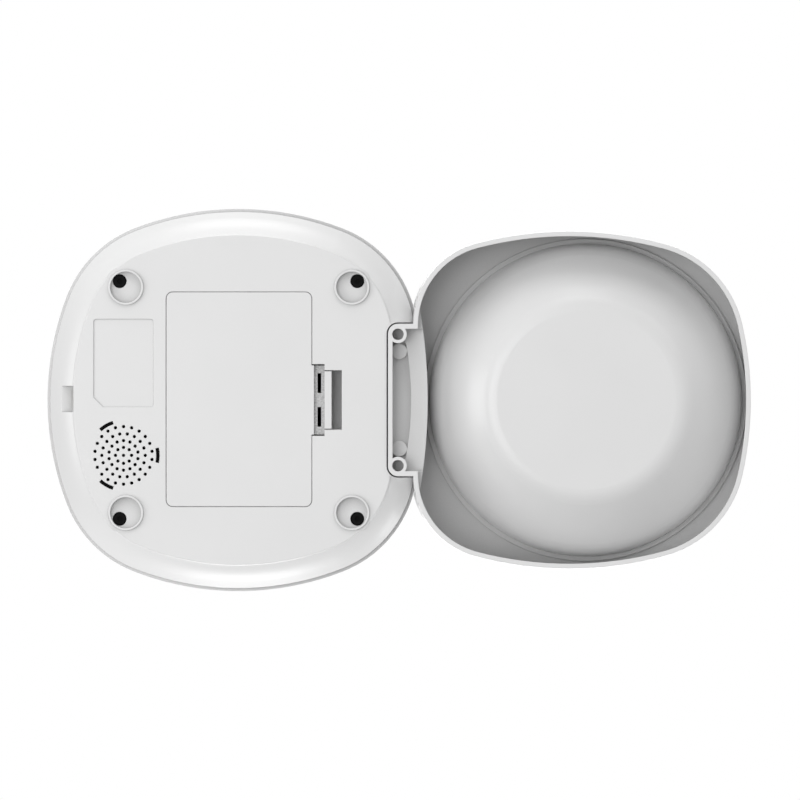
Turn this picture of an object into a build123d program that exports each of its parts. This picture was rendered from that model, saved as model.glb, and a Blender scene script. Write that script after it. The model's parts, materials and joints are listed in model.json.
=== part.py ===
"""Microchip pet feeder: a hopper tower with a motorised cover over a bowl on a pull-off stand.

Millimetres, +Z up. The origin is on the floor, at the middle of the whole feeder. +X points from the
tower to the bowl, and the feeder is symmetric about Y = 0 apart from small features.
"""
from build123d import *
import os
from math import acos, atan2, cos, degrees, hypot, pi, radians, sin, sqrt, tan

# ---- general ------------------------------------------------------------------------------------
SHELL_WALL = 2.6            # outer shells of the tower
THIN_WALL = 2.0             # inner mouldings
FIT = 0.3                   # gap between mouldings that slide or lift
SHAFT_FIT = 0.05            # radial clearance of a shaft in its bore
HUB_FIT = 0.02              # radial clearance of a hub on its shaft

# ---- tower outline in plan ------------------------------------------------------------------------
TOWER_LENGTH = 188.1
TOWER_WIDTH = 191.7
TOWER_FRONT_X = 11.4
TOWER_SIDE_X = -80.9        # where the sides bulge most
TOWER_REAR_RADIUS = 145.0
TOWER_SIDE_RADIUS = 144.5
TOWER_FRONT_RADIUS = 265.0
TOWER_CORNER_RADIUS = 59.0

# ---- base cover -----------------------------------------------------------------------------------
PLATE_Z = 1.2               # underside of the flat bottom plate
PLATE_THICKNESS = 2.0
RIM_INSET = 12.9            # plate edge, from the tower outline
PLATE_CHAMFER = 0.6         # round the plate's edge
RIM_STEP = 1.0              # rim starts this much above the plate
RIM_BAND = 3.2              # straight outer band of the rim
RIM_EDGE_INSET = 1.6        # rim's outer edge, from the tower outline
RIM_START_ANGLE = 30.0      # slope where the rim leaves the plate
RIM_END_ANGLE = 55.0        # slope of the outer band
RIM_WALL = 2.2
LEDGE_DEPTH = 4.5           # the shell's lower edge sits this much above the rim
FOOT_RADIUS = 8.8
FOOT_WALL = 1.0
FOOT_RECESS = 1.8           # the plate is dished this much inside a foot ring
FOOT_SETBACK = (39.65, 35.35)  # foot centres from the tower's rear and from its front
FOOT_Y = 56.4
SCREW_OFFSET = (3.1, 2.7)   # screw from the foot's centre along X, rear and front
SCREW_OFFSET_Y = 3.05
SCREW_HEAD_RADIUS = 3.3
SCREW_HEAD_HEIGHT = 2.2
SCREW_RADIUS = 1.5
SCREW_LENGTH = 12.0
SCREW_POCKET_RADIUS = 3.5
SCREW_SEAT_Z = 5.6          # underside of the boss that the head pulls on
SCREW_BOSS_RADIUS = 6.5
SCREW_BOSS_TOP = 7.6
POST_RADIUS = 4.5
POST_HEIGHT = 33.0
POST_RIB = 2.0

LABEL_SIZE = (30.0, 44.0)
LABEL_CENTRE = (-138.15, -18.5)
LABEL_DEPTH = 0.4
LABEL_CORNER = 1.5
LABEL_CHAMFER = 4.8

GRILLE_CENTRE = (-138.15, 27.7)
GRILLE_HOLE_RADIUS = 0.82
GRILLE_COUNTS = (8, 14, 18, 22)
GRILLE_RADII = (4.0, 7.4, 10.85, 14.4)
GRILLE_TURNS = (0.0, 0.0, 10.0, 0.0)
GRILLE_SLOT_RADIUS = 17.2
GRILLE_SLOT_WIDTH = 1.75
GRILLE_SLOT_HALF_ANGLE = 12.4
SPEAKER_RADIUS = 18.6
SPEAKER_RIB = 1.4
SPEAKER_RIM_HEIGHT = 4.0
SPEAKER_MAGNET_RADIUS = 10.5
SPEAKER_MAGNET_HEIGHT = 7.0

CABLE_SLOT_WIDTH = 13.0
CABLE_SLOT_Y = -0.5
CABLE_SLOT_OUTER_INSET = 7.3   # where the slot's flat roof meets the sloping rim
USB_WIDTH = 8.94
USB_HEIGHT = 3.2
USB_DEPTH = 7.4
USB_SHELL = 0.35
BOARD_THICKNESS = 1.6

# ---- batteries ------------------------------------------------------------------------------------
CELL_DIAMETER = 34.2        # D cell
CELL_LENGTH = 61.5
CELL_COUNT = 3
CELL_NUB_RADIUS = 4.75
CELL_NUB_HEIGHT = 1.5
BAY_SETBACK = 55.5          # door's front edge behind the tower's front
BAY_CENTRE_Y = -0.35
BAY_MARGIN_X = 5.55         # door edge beyond the cells, along them
BAY_MARGIN_Y = 2.25
DOOR_GAP = 0.3
DOOR_CORNER = 3.2
DOOR_HOOK = (2.4, 9.0, 1.4)  # length, width, height of the two hooks
DOOR_HOOK_Y = 43.0
CONTACT_THICKNESS = 0.5
CONTACT_SIZE = 14.0
LATCH_UNDER = 2.1           # grooved spring strip reaches this far under the door
DOOR_LIP = 1.2              # lip of the door in front of its edge, under the strip
LATCH_STRIP_HALF = 17.3
LATCH_STRIP_DEPTH = 3.4     # the strip's underside, from the plate's
LATCH_STRIP_THICKNESS = 1.2
LATCH_STRIP_GAP = 0.6       # at each end of the strip
LATCH_TAB = 3.5             # finger tab, along X
LATCH_TAB_HALF = 14.35
LATCH_TAB_GAP = 0.5         # at each end of the tab
LATCH_TAB_RISE = 1.2        # tab above the strip
LATCH_TRAVEL = 1.5
LATCH_SLOTS = (1.8, 9.85, 8.45)  # width, length and distance from the middle of the two slots
LATCH_REACH = 9.95          # tab's front edge in front of the door
FINGER_WELL = 5.15          # finger well in front of the tab, along X
FINGER_WELL_DEPTH = 15.0

# ---- stand and its neck ---------------------------------------------------------------------------
STAND_REAR_X = 6.35
STAND_FRONT_X = 175.5
STAND_SIDE_X = 84.8
STAND_WIDTH = 168.4
STAND_REAR_RADIUS = 1500.0
STAND_SIDE_RADIUS = 183.4
STAND_FRONT_RADIUS = 171.5
STAND_REAR_CORNER = 42.0
STAND_FRONT_CORNER = 53.9
STAND_HEIGHT = 46.0
STAND_WALL = 2.3
STAND_FLARE = 1.2           # the skirt grows this much from the floor to the deck
DECK_THICKNESS = 2.2
DECK_EDGE_RADIUS = 1.5
TOWER_GAP = 0.3             # between the stand's rear wall and the tower
STAND_STEP_Z = 12.4         # below this the stand's rear wall runs on under the tower
NECK_REAR_X = -5.9
NECK_HALF_WIDTH = 38.15
NECK_CORNER = 5.0
NECK_GAP = 0.65             # round the neck in the base's recess
NECK_TOP = 16.2
NECK_WEB_Z = 11.6           # underside of the neck's web
NECK_TROUGH_Z = 14.4        # roof of the deeper trough behind the web
NECK_TROUGH_X = 5.6
NECK_TROUGH_RADIUS = 160.0
NECK_BOSS = (-0.9, 32.85)
NECK_BOSS_RADIUS = 4.45
NECK_BOSS_BORE = 2.85
NECK_BOSS_DEPTH = 12.4
NECK_PAD = (-0.3, 24.35)
NECK_PAD_RADIUS = 3.95

# ---- bowl -----------------------------------------------------------------------------------------
BOWL_X = 93.5
WELL_RADIUS = 78.6          # outside of the well
WELL_WALL = 2.2
WELL_ARC_RADII = (14.7, 90.0, 25.0)    # three tangent arcs from the well's floor up to its wall
WELL_ARC_ANGLES = (33.0, 50.0, 90.0)   # slope at the end of each arc
WELL_FLOOR_Z = 4.0          # underside of the well's floor
SEAT_RADIUS = 81.1          # outside of the sunk seat for the bowl's flange
SEAT_DEPTH = 2.6
BOWL_GAP = 0.6
BOWL_WALL = 1.0
BOWL_FLANGE_GAP = 0.4
BOWL_LIFT = 2.4

# ---- spout, chute and bowl cover ------------------------------------------------------------------
HINGE_X = 18.6
HINGE_Z = 55.0
HOOD_RADIUS = 26.0
HOOD_HALF_WIDTH = 34.0
HOOD_WALL = 2.0
HOOD_BOTTOM = 47.0
HOOD_FLOOR = 1.0            # thin floor under each cheek
COIL_GAP = 0.1
COIL_THICKNESS = 2.0
COIL_BAR = 3.0
COIL_ANGLES = (10.0, 84.0)
CHUTE_HALF_WIDTH = 26.0
CHUTE_WALL = 2.0
CHUTE_REAR_HEIGHT = 7.0     # height of the chute's rear wall under its inlet
COVER_INSET = 1.5           # cover edge inside the stand's top edge
COVER_BOTTOM = 46.8
COVER_TOP = 57.0
COVER_WALL = 2.0
COVER_EDGE_RADIUS = 5.0
COVER_REAR_GAP = 1.2        # cover's rear edge in front of the hinge line
COVER_HOOD_GAP = 1.5
COVER_SIDE_GAP = 1.2
EAR_WIDTH = 5.0
EAR_RADIUS = 5.6
COVER_OPEN = 90.0
HINGE_SHAFT_RADIUS = 2.5
COVER_MODULE = 0.8
COVER_TEETH, IDLER_TEETH, COVER_PINION_TEETH = 15, 30, 10
COVER_GEAR_WIDTH = 4.0
COVER_GEAR_Y = -31.0        # outer face of the cover's gear train
IDLER_RISE = 2.6
IDLER_AXLE_RADIUS = 1.5
COVER_MOTOR_RADIUS = 9.0
COVER_MOTOR_LENGTH = 24.0
BRACKET_THICKNESS = 2.0
MOTOR_SHAFT_RADIUS = 1.5

# ---- shells ---------------------------------------------------------------------------------------
SHOULDER_Z = 150.0
SHOULDER_INSET = 6.0
SHOULDER_FLANGE = 8.0       # inward flange that carries the frame plate and the upper shell
SHOULDER_THICKNESS = 2.6
UPPER_WALL = 2.4
UPPER_TOP = 286.0
CHASSIS_THICKNESS = 3.0
LIP_HEIGHT = 4.0
LIP_WALL = 1.7

# ---- portion wheel --------------------------------------------------------------------------------
ROTOR_X = -82.5
ROTOR_Z = 160.0
ROTOR_RADIUS = 30.0
ROTOR_GAP = 0.6
ROTOR_HALF_WIDTH = 30.8
ROTOR_VANES = 6
ROTOR_VANE = 2.0
ROTOR_HUB_RADIUS = 8.0
ROTOR_SIDE_GAP = 0.4
ROTOR_SHAFT_RADIUS = 3.0
OUTLET_HALF_LENGTH = 21.0
OUTLET_BOTTOM = 126.0
NECK_TUBE_HALF = 32.0
HOPPER_OUTLET_Z = 196.0
FEED_MODULE = 1.0
ROTOR_TEETH, FEED_PINION_TEETH = 40, 12
FEED_GEAR_WIDTH = 6.0
FEED_GEAR_Y = -37.0         # inner face of the feed gear train
FEED_MESH_ANGLE = 160.0
FEED_PLATE_GAP = 2.0
FEED_MOTOR_RADIUS = 12.0
FEED_MOTOR_ROOM = 18.85     # from the back of the feed motor's can to the tower's widest line
FEED_SHAFT_RADIUS = 2.0
PILLAR_RADIUS = 3.0
PILLAR_REACH = 29.0

# ---- hopper and lid -------------------------------------------------------------------------------
BIN_GAP = 0.5
BIN_FUNNEL_INSET = 45.0     # how far the funnel draws in
BIN_FRONT_X = -14.0         # flat front that leaves room for the controls
BIN_RIM_HEIGHT = 2.0
LID_GAP = 0.3
LID_HEIGHT = 13.6
LID_EDGE_RADIUS = 8.0
LID_WALL = 2.4
LID_PLUG_HEIGHT = 6.0
LID_PLUG_WALL = 2.0
LID_OPEN = 100.0
SEAL_HEIGHT = 3.0
SEAL_GAP = 0.25
SEAL_THICKNESS = 1.0
LID_HINGE_OFFSET = 1.5      # hinge line behind the upper shell
LID_KNUCKLE_RADIUS = 3.0
LID_KNUCKLE_HALF = 14.0
LID_EAR = 11.0
LID_PIN_RADIUS = 1.2
GRIP_HALF_WIDTH = 16.0
GRIP_DEPTH = 3.0
GRIP_HEIGHT = 5.0
DESICCANT_RADIUS = 31.0
DESICCANT_HEIGHT = 13.0
CUP_WALL = 1.6
DESICCANT_X = -80.0

# ---- controls -------------------------------------------------------------------------------------
DISPLAY_HALF_WIDTH = 31.0
DISPLAY_Z = (238.0, 274.0)
DISPLAY_PROUD = 0.4
LENS_FLANGE = 1.2
LENS_SEAT_GAP = 0.1          # glue line between the lens flange and the shell
BUTTON_Z = 224.0
BUTTON_PITCH = 19.0
BUTTON_RADIUS = 5.5
BUTTON_FLANGE = 7.0
BUTTON_PROUD = 1.2
BUTTON_TRAVEL = 0.8
CONTROL_BOARD_X = -6.0      # rear face of the board
CONTROL_BOARD_HALF = 36.0
CONTROL_BOARD_Z = (214.0, 284.0)
STANDOFF_RADIUS = 3.0

MAIN_BOARD_SIZE = (56.0, 88.0)
MAIN_BOARD_LIFT = 4.0

# ---- values worked out from the above -------------------------------------------------------------
plate_top = PLATE_Z + PLATE_THICKNESS
tower_rear_x = TOWER_FRONT_X - TOWER_LENGTH
foot_x = (tower_rear_x + FOOT_SETBACK[0], TOWER_FRONT_X - FOOT_SETBACK[1])
rim_z = PLATE_Z + RIM_STEP
rim_curve_width = RIM_INSET - RIM_EDGE_INSET - RIM_BAND
rim_curve_radius = rim_curve_width / (sin(radians(RIM_END_ANGLE)) - sin(radians(RIM_START_ANGLE)))
rim_band_z = rim_z + rim_curve_radius * (cos(radians(RIM_START_ANGLE)) - cos(radians(RIM_END_ANGLE)))
rim_top = rim_band_z + RIM_BAND * tan(radians(RIM_END_ANGLE))
shell_z = rim_top + LEDGE_DEPTH
neck_roof = NECK_TOP + TOWER_GAP

bay_front_x = TOWER_FRONT_X - BAY_SETBACK
bay_length = CELL_LENGTH + 2 * BAY_MARGIN_X
bay_rear_x = bay_front_x - bay_length
bay_half_width = CELL_COUNT * CELL_DIAMETER / 2 + BAY_MARGIN_Y
bay_centre_x = (bay_front_x + bay_rear_x) / 2
bay_y = (BAY_CENTRE_Y - bay_half_width, BAY_CENTRE_Y + bay_half_width)
tray_top = plate_top + CELL_DIAMETER + 3.2 + THIN_WALL

deck_z = STAND_HEIGHT - DECK_THICKNESS
seat_z = STAND_HEIGHT - SEAT_DEPTH
chute_floor_end = HINGE_X + 6.0

upper_inset = SHOULDER_INSET
upper_inner = upper_inset + UPPER_WALL
bin_outer = upper_inner + BIN_GAP
bin_inner = bin_outer + THIN_WALL
bin_rim_z = UPPER_TOP + BIN_RIM_HEIGHT
lid_z = bin_rim_z + LID_GAP
lid_top = lid_z + LID_HEIGHT
upper_rear_x = tower_rear_x + upper_inset
lid_hinge_x = upper_rear_x - LID_HINGE_OFFSET
lid_hinge_z = lid_z - 0.1
plug_front_x = BIN_FRONT_X - THIN_WALL - SEAL_GAP - SEAL_THICKNESS
desiccant_z = lid_top - LID_WALL - 4 - DESICCANT_HEIGHT
chassis_top = SHOULDER_Z + CHASSIS_THICKNESS

feed_mesh = radians(FEED_MESH_ANGLE)
feed_distance = FEED_MODULE * (ROTOR_TEETH + FEED_PINION_TEETH) / 2
feed_pinion_x = ROTOR_X + feed_distance * cos(feed_mesh)
feed_pinion_z = ROTOR_Z + feed_distance * sin(feed_mesh)
feed_plate_y = FEED_GEAR_Y - FEED_GEAR_WIDTH - FEED_PLATE_GAP
feed_motor_y = feed_plate_y - BRACKET_THICKNESS
feed_motor_length = feed_motor_y + TOWER_WIDTH / 2 - FEED_MOTOR_ROOM

idler_distance = COVER_MODULE * (COVER_TEETH + IDLER_TEETH) / 2
idler_mesh = pi - atan2(IDLER_RISE, sqrt(idler_distance ** 2 - IDLER_RISE ** 2))
idler_x = HINGE_X + idler_distance * cos(idler_mesh)
idler_z = HINGE_Z + IDLER_RISE
cover_pinion_distance = COVER_MODULE * (IDLER_TEETH + COVER_PINION_TEETH) / 2
cover_pinion_x = idler_x - cover_pinion_distance
bracket_y = COVER_GEAR_Y - COVER_MODULE - 2.0   # inner face of the bracket plate


# ---- outlines made of tangent arcs ----------------------------------------------------------------
def circle_meet(c0, r0, c1, r1):
    """Upper point where two circles meet."""
    d = hypot(c1[0] - c0[0], c1[1] - c0[1])
    along = (r0 ** 2 - r1 ** 2 + d ** 2) / (2 * d)
    off = sqrt(r0 ** 2 - along ** 2)
    ux, uy = (c1[0] - c0[0]) / d, (c1[1] - c0[1]) / d
    points = [(c0[0] + along * ux - s * off * uy, c0[1] + along * uy + s * off * ux) for s in (1, -1)]
    return max(points, key=lambda p: p[1])


def rounded_outline(rear_x, front_x, side_x, half_width, rear_r, side_r, front_r, rear_c, front_c):
    """Eight tangent arcs (centre, radius, start angle, end angle), anticlockwise from the front."""
    rear, side, front = (rear_x + rear_r, 0), (side_x, half_width - side_r), (front_x - front_r, 0)
    c1 = circle_meet(rear, rear_r - rear_c, side, side_r - rear_c)
    c2 = circle_meet(front, front_r - front_c, side, side_r - front_c)

    def angle(c, o):
        return atan2(c[1] - o[1], c[0] - o[0])

    a1, a2, a3, a4 = angle(c1, rear), angle(c1, side), angle(c2, side), angle(c2, front)
    upper = [(c2, front_c, a4, a3), (side, side_r, a3, a2), (c1, rear_c, a2, a1)]
    lower = [((c[0], -c[1]), r, -e, -s) for c, r, s, e in reversed(upper)]
    return [(front, front_r, -a4, a4)] + upper + [(rear, rear_r, a1, 2 * pi - a1)] + lower


tower = rounded_outline(tower_rear_x, TOWER_FRONT_X, TOWER_SIDE_X, TOWER_WIDTH / 2, TOWER_REAR_RADIUS,
                        TOWER_SIDE_RADIUS, TOWER_FRONT_RADIUS, TOWER_CORNER_RADIUS, TOWER_CORNER_RADIUS)
stand = rounded_outline(STAND_REAR_X, STAND_FRONT_X, STAND_SIDE_X, STAND_WIDTH / 2, STAND_REAR_RADIUS,
                        STAND_SIDE_RADIUS, STAND_FRONT_RADIUS, STAND_REAR_CORNER, STAND_FRONT_CORNER)


def on_arc(centre, radius, angle):
    return (centre[0] + radius * cos(angle), centre[1] + radius * sin(angle))


def outline_face(outline, inset=0.0, z=0.0):
    """Flat face inside an outline, drawn in by inset (or out, if it is negative)."""
    edges = [ThreePointArc(*(on_arc(c, r - inset, a) for a in (s, (s + e) / 2, e)))
             for c, r, s, e in outline]
    return Pos(0, 0, z) * Face(Wire(edges))


def slab(outline, inset, z0, z1):
    return extrude(outline_face(outline, inset, z0), z1 - z0)


def tube(outline, inset0, inset1, z0, z1):
    """Upright wall between two insets of an outline."""
    return slab(outline, inset0, z0, z1) - slab(outline, inset1, z0, z1)


def band(outline, profile):
    """Carries a profile round an outline. In the profile, x is minus the inset and y is the height."""
    pieces = []
    for c, r, s, e in outline:
        plane = Plane(origin=(*on_arc(c, r, s), 0), x_dir=(cos(s), sin(s), 0), z_dir=(sin(s), -cos(s), 0))
        pieces.append(revolve(plane * profile, Axis((*c, 0), (0, 0, 1)), degrees(e - s)))
    return Part() + pieces


# ---- small shapes ---------------------------------------------------------------------------------
def block(x, y, z):
    """Box from three (low, high) pairs."""
    size = [b - a for a, b in (x, y, z)]
    mid = [(a + b) / 2 for a, b in (x, y, z)]
    return Pos(*mid) * Box(*size)


def peg(x, y, radius, z0, z1):
    """Upright cylinder."""
    return Pos(x, y, (z0 + z1) / 2) * Cylinder(radius, z1 - z0)


def cross_peg(x, z, radius, y0, y1):
    """Cylinder along Y."""
    return Pos(x, (y0 + y1) / 2, z) * Rot(90, 0, 0) * Cylinder(radius, abs(y1 - y0))


def front_peg(y, z, radius, x0, x1):
    """Cylinder along X."""
    return Pos((x0 + x1) / 2, y, z) * Rot(0, 90, 0) * Cylinder(radius, x1 - x0)


def rounded_block(x, y, z, radius):
    """Box with rounded upright corners."""
    return fillet(block(x, y, z).edges().filter_by(Axis.Z), radius)


def side_profile(lines, y0, y1):
    """Face drawn in X and Z, pulled from y0 to y1."""
    return extrude(Plane((0, y1, 0), x_dir=(1, 0, 0), z_dir=(0, -1, 0)) * make_face(lines), y1 - y0)


def gear(x, z, module, teeth, turn, bore, y0, y1):
    """Spur gear with its axis along Y and one tooth centred on the angle turn, seen in X and Z."""
    pressure, backlash = radians(25), 0.12
    pitch_r = teeth * module / 2
    base_r, tip_r, root_r = pitch_r * cos(pressure), pitch_r + 0.8 * module, pitch_r - 1.1 * module
    low = max(base_r, root_r + 0.05)
    flank = [low + (tip_r - low) * k / 3 for k in range(4)]

    def involute(angle):
        return tan(angle) - angle

    half_pitch = pi / (2 * teeth) - backlash / (2 * pitch_r) + involute(pressure)
    halves = [half_pitch - involute(acos(min(1, base_r / r))) for r in flank]
    points = []
    for k in range(teeth):
        middle = turn + 2 * pi * k / teeth
        rising = [(root_r, middle - halves[0])] + [(r, middle - h) for r, h in zip(flank, halves)]
        falling = [(r, 2 * middle - a) for r, a in reversed(rising)]
        points += [(x + r * cos(a), z + r * sin(a)) for r, a in rising + falling]
    wheel = side_profile(Polyline(*points, close=True), y0, y1)
    return wheel - cross_peg(x, z, bore, y0 - 1, y1 + 1)


# ---- base -----------------------------------------------------------------------------------------
def rim_arc_point(angle, grow=0.0):
    """Point of the rim's curve at a slope angle, as (minus inset, height), thickened inwards by grow."""
    a, s = radians(angle), radians(RIM_START_ANGLE)
    centre = (-RIM_INSET - rim_curve_radius * sin(s), rim_z + rim_curve_radius * cos(s))
    r = rim_curve_radius - grow
    return (centre[0] + r * sin(a), centre[1] - r * cos(a))


def pan(grow, floor, top):
    """Solid pan with the rim's curved underside. grow draws its surface inwards by a wall."""
    start, middle, end = (rim_arc_point(a, grow)
                          for a in (RIM_START_ANGLE, (RIM_START_ANGLE + RIM_END_ANGLE) / 2, RIM_END_ANGLE))
    edge = -RIM_EDGE_INSET - grow
    edge_z = end[1] + (edge - end[0]) * tan(radians(RIM_END_ANGLE))
    back = start[0] - 2.0
    profile = make_face([ThreePointArc(start, middle, end), Line(end, (edge, edge_z)),
                         Line((edge, edge_z), (edge, top)), Line((edge, top), (back, top)),
                         Line((back, top), (back, start[1])), Line((back, start[1]), start)])
    return band(tower, profile) + slab(tower, -start[0], floor, top)


def plate_edge_waste():
    """Wedge that chamfers the plate's edge."""
    over = 0.3
    corner = (over - RIM_INSET, PLATE_Z - over)
    inner = (-RIM_INSET - PLATE_CHAMFER - over, PLATE_Z - over)
    outer = (over - RIM_INSET, PLATE_Z + PLATE_CHAMFER + over)
    return band(tower, make_face([Line(corner, inner), Line(inner, outer), Line(outer, corner)]))


def screw_places():
    return [(x + s * dx, side * (FOOT_Y + SCREW_OFFSET_Y))
            for x, dx, s in zip(foot_x, SCREW_OFFSET, (-1, 1)) for side in (-1, 1)]


def grille():
    """Holes of the speaker grille and its three outer slots."""
    gx, gy = GRILLE_CENTRE
    places = [(gx, gy)]
    for count, radius, turn in zip(GRILLE_COUNTS, GRILLE_RADII, GRILLE_TURNS):
        angles = [radians(turn) - pi / 2 + 2 * pi * k / count for k in range(count)]
        places += [(gx + radius * cos(a), gy + radius * sin(a)) for a in angles]
    z0, z1 = PLATE_Z - 1, plate_top + 1
    holes = [peg(x, y, GRILLE_HOLE_RADIUS, z0, z1) for x, y in places]
    inner, outer = GRILLE_SLOT_RADIUS - GRILLE_SLOT_WIDTH / 2, GRILLE_SLOT_RADIUS + GRILLE_SLOT_WIDTH / 2
    half = radians(GRILLE_SLOT_HALF_ANGLE)
    for k in range(3):
        a = 2 * pi * k / 3
        corners = [on_arc(GRILLE_CENTRE, r, b) for r, b in ((inner, a - half), (inner, a), (inner, a + half),
                                                            (outer, a + half), (outer, a), (outer, a - half))]
        face = make_face([ThreePointArc(*corners[:3]), Line(corners[2], corners[3]),
                          ThreePointArc(*corners[3:]), Line(corners[5], corners[0])])
        holes.append(extrude(Pos(0, 0, z0) * face, z1 - z0))
    return holes


def label_pocket():
    lx, ly = LABEL_CENTRE
    w, h = LABEL_SIZE
    pocket = rounded_block((lx - w / 2, lx + w / 2), (ly - h / 2, ly + h / 2),
                           (PLATE_Z - 1, PLATE_Z + LABEL_DEPTH), LABEL_CORNER)
    corner = Pos(lx - w / 2, ly + h / 2, PLATE_Z) * Rot(0, 0, 45) * Box(20, LABEL_CHAMFER * sqrt(2), 4)
    return pocket - corner


def cable_slot_roof():
    """Height at which the slot's flat roof meets the sloping rim."""
    along = RIM_INSET - CABLE_SLOT_OUTER_INSET
    start = radians(RIM_START_ANGLE)
    slope = sin(start) + along / rim_curve_radius
    return rim_z + rim_curve_radius * (cos(start) - sqrt(1 - slope ** 2))


slot_roof = cable_slot_roof()
slot_end_x = tower_rear_x + RIM_INSET + 0.6
slot_y = (CABLE_SLOT_Y - CABLE_SLOT_WIDTH / 2, CABLE_SLOT_Y + CABLE_SLOT_WIDTH / 2)
usb_z = (slot_roof - 0.1 - USB_HEIGHT, slot_roof - 0.1)
usb_y = (CABLE_SLOT_Y - USB_WIDTH / 2, CABLE_SLOT_Y + USB_WIDTH / 2)
usb_x = (slot_end_x, slot_end_x + USB_DEPTH)
usb_board_x = (slot_end_x + THIN_WALL + FIT, slot_end_x + 17.0)
usb_board_z = usb_z[1]
well_x = (bay_front_x + LATCH_REACH, bay_front_x + LATCH_REACH + FINGER_WELL)
latch_tab_x = (well_x[0] - LATCH_TAB, well_x[0])
latch_strip_x = (bay_front_x - LATCH_UNDER, latch_tab_x[0])
latch_strip_z = (PLATE_Z + LATCH_STRIP_DEPTH, PLATE_Z + LATCH_STRIP_DEPTH + LATCH_STRIP_THICKNESS)
well_roof = PLATE_Z + FINGER_WELL_DEPTH


def make_base_cover():
    """Bottom cover: flat plate, curved rim, feet, grille, battery opening and the neck's recess."""
    outer = pan(0.0, PLATE_Z, shell_z) - plate_edge_waste()
    body = outer - pan(RIM_WALL, plate_top, shell_z + 1)
    body += tube(tower, SHELL_WALL + FIT, SHELL_WALL + FIT + LIP_WALL, shell_z - 1.5, shell_z + LIP_HEIGHT)

    recess_half = NECK_HALF_WIDTH + NECK_GAP
    recess_x = NECK_REAR_X - NECK_GAP
    room = rounded_block((recess_x - THIN_WALL, TOWER_FRONT_X + 40),
                         (-recess_half - THIN_WALL, recess_half + THIN_WALL),
                         (PLATE_Z, neck_roof + THIN_WALL), NECK_CORNER + NECK_GAP + THIN_WALL)
    ceiling_limit = slab(tower, RIM_EDGE_INSET, PLATE_Z, neck_roof + THIN_WALL)
    body += room & outer
    body += room & ceiling_limit & block((recess_x - THIN_WALL, TOWER_FRONT_X), (-recess_half, recess_half),
                                         (neck_roof, neck_roof + THIN_WALL))
    recess = rounded_block((recess_x, TOWER_FRONT_X + 40), (-recess_half, recess_half),
                           (PLATE_Z - 2, neck_roof), NECK_CORNER + NECK_GAP)

    channel = block((tower_rear_x - 1, slot_end_x), slot_y, (PLATE_Z - 2, slot_roof))
    channel_room = block((tower_rear_x, slot_end_x + THIN_WALL),
                         (slot_y[0] - THIN_WALL, slot_y[1] + THIN_WALL), (PLATE_Z, slot_roof + THIN_WALL))
    body += channel_room & outer
    socket_hole = block((slot_end_x - 1, slot_end_x + THIN_WALL + 1), (usb_y[0] - 0.15, usb_y[1] + 0.15),
                        (usb_z[0] - 0.05, usb_z[1] + 0.15))
    body += [peg(usb_board_x[1] - 3.0, CABLE_SLOT_Y + side * 5.5, 2.0, plate_top - 0.5, usb_board_z)
             for side in (-1, 1)]

    well_room = block((latch_tab_x[0] - 1.0, well_x[1] + THIN_WALL),
                      (-LATCH_TAB_HALF - THIN_WALL - LATCH_TAB_GAP,
                       LATCH_TAB_HALF + THIN_WALL + LATCH_TAB_GAP),
                      (PLATE_Z, well_roof + THIN_WALL))
    body += well_room
    well = block((latch_tab_x[0] - 1.5, well_x[1]),
                 (-LATCH_TAB_HALF - LATCH_TAB_GAP, LATCH_TAB_HALF + LATCH_TAB_GAP),
                 (PLATE_Z - 1, well_roof))
    strip_opening = block((bay_front_x - 1, latch_tab_x[0]),
                          (-LATCH_STRIP_HALF - LATCH_STRIP_GAP, LATCH_STRIP_HALF + LATCH_STRIP_GAP),
                          (PLATE_Z - 1, well_roof + THIN_WALL))
    door_opening = rounded_block((bay_rear_x - DOOR_GAP, bay_front_x + DOOR_GAP),
                                 (bay_y[0] - DOOR_GAP, bay_y[1] + DOOR_GAP),
                                 (PLATE_Z - 1, plate_top + 1), DOOR_CORNER + DOOR_GAP)

    sx, sy = GRILLE_CENTRE
    body += peg(sx, sy, SPEAKER_RADIUS + FIT + SPEAKER_RIB, plate_top - 0.5, plate_top + SPEAKER_RIM_HEIGHT)
    body -= peg(sx, sy, SPEAKER_RADIUS + FIT, plate_top, plate_top + SPEAKER_RIM_HEIGHT + 1)

    for x in foot_x:
        for side in (-1, 1):
            body += peg(x, side * FOOT_Y, FOOT_RADIUS, 0, SCREW_SEAT_Z)
            body -= peg(x, side * FOOT_Y, FOOT_RADIUS - FOOT_WALL, -1, PLATE_Z + FOOT_RECESS)
    for x, y in screw_places():
        body += peg(x, y, SCREW_BOSS_RADIUS, PLATE_Z, SCREW_BOSS_TOP)
    for x in foot_x:
        for side in (-1, 1):
            body -= peg(x, side * FOOT_Y, FOOT_RADIUS - FOOT_WALL, -1, PLATE_Z + FOOT_RECESS)
    for x, y in screw_places():
        body -= peg(x, y, SCREW_POCKET_RADIUS, -1, SCREW_SEAT_Z)
        body -= peg(x, y, SCREW_RADIUS + FIT, 0, SCREW_BOSS_TOP + 1)
    cuts = [recess, channel, socket_hole, well, strip_opening, door_opening, label_pocket()]
    return body - cuts - grille()


def make_base_screws():
    """Four cap screws, each with a hexagon socket."""
    head_z = SCREW_SEAT_Z - SCREW_HEAD_HEIGHT
    screws = []
    for x, y in screw_places():
        screw = peg(x, y, SCREW_HEAD_RADIUS, head_z, SCREW_SEAT_Z)
        screw = chamfer(screw.edges().group_by(Axis.Z)[0], 0.3)
        screw += peg(x, y, SCREW_RADIUS, SCREW_SEAT_Z, SCREW_SEAT_Z + SCREW_LENGTH)
        socket = extrude(Pos(x, y, head_z) * RegularPolygon(1.4, 6), 1.3)
        screws.append(screw - socket)
    return Compound(children=screws)


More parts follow.
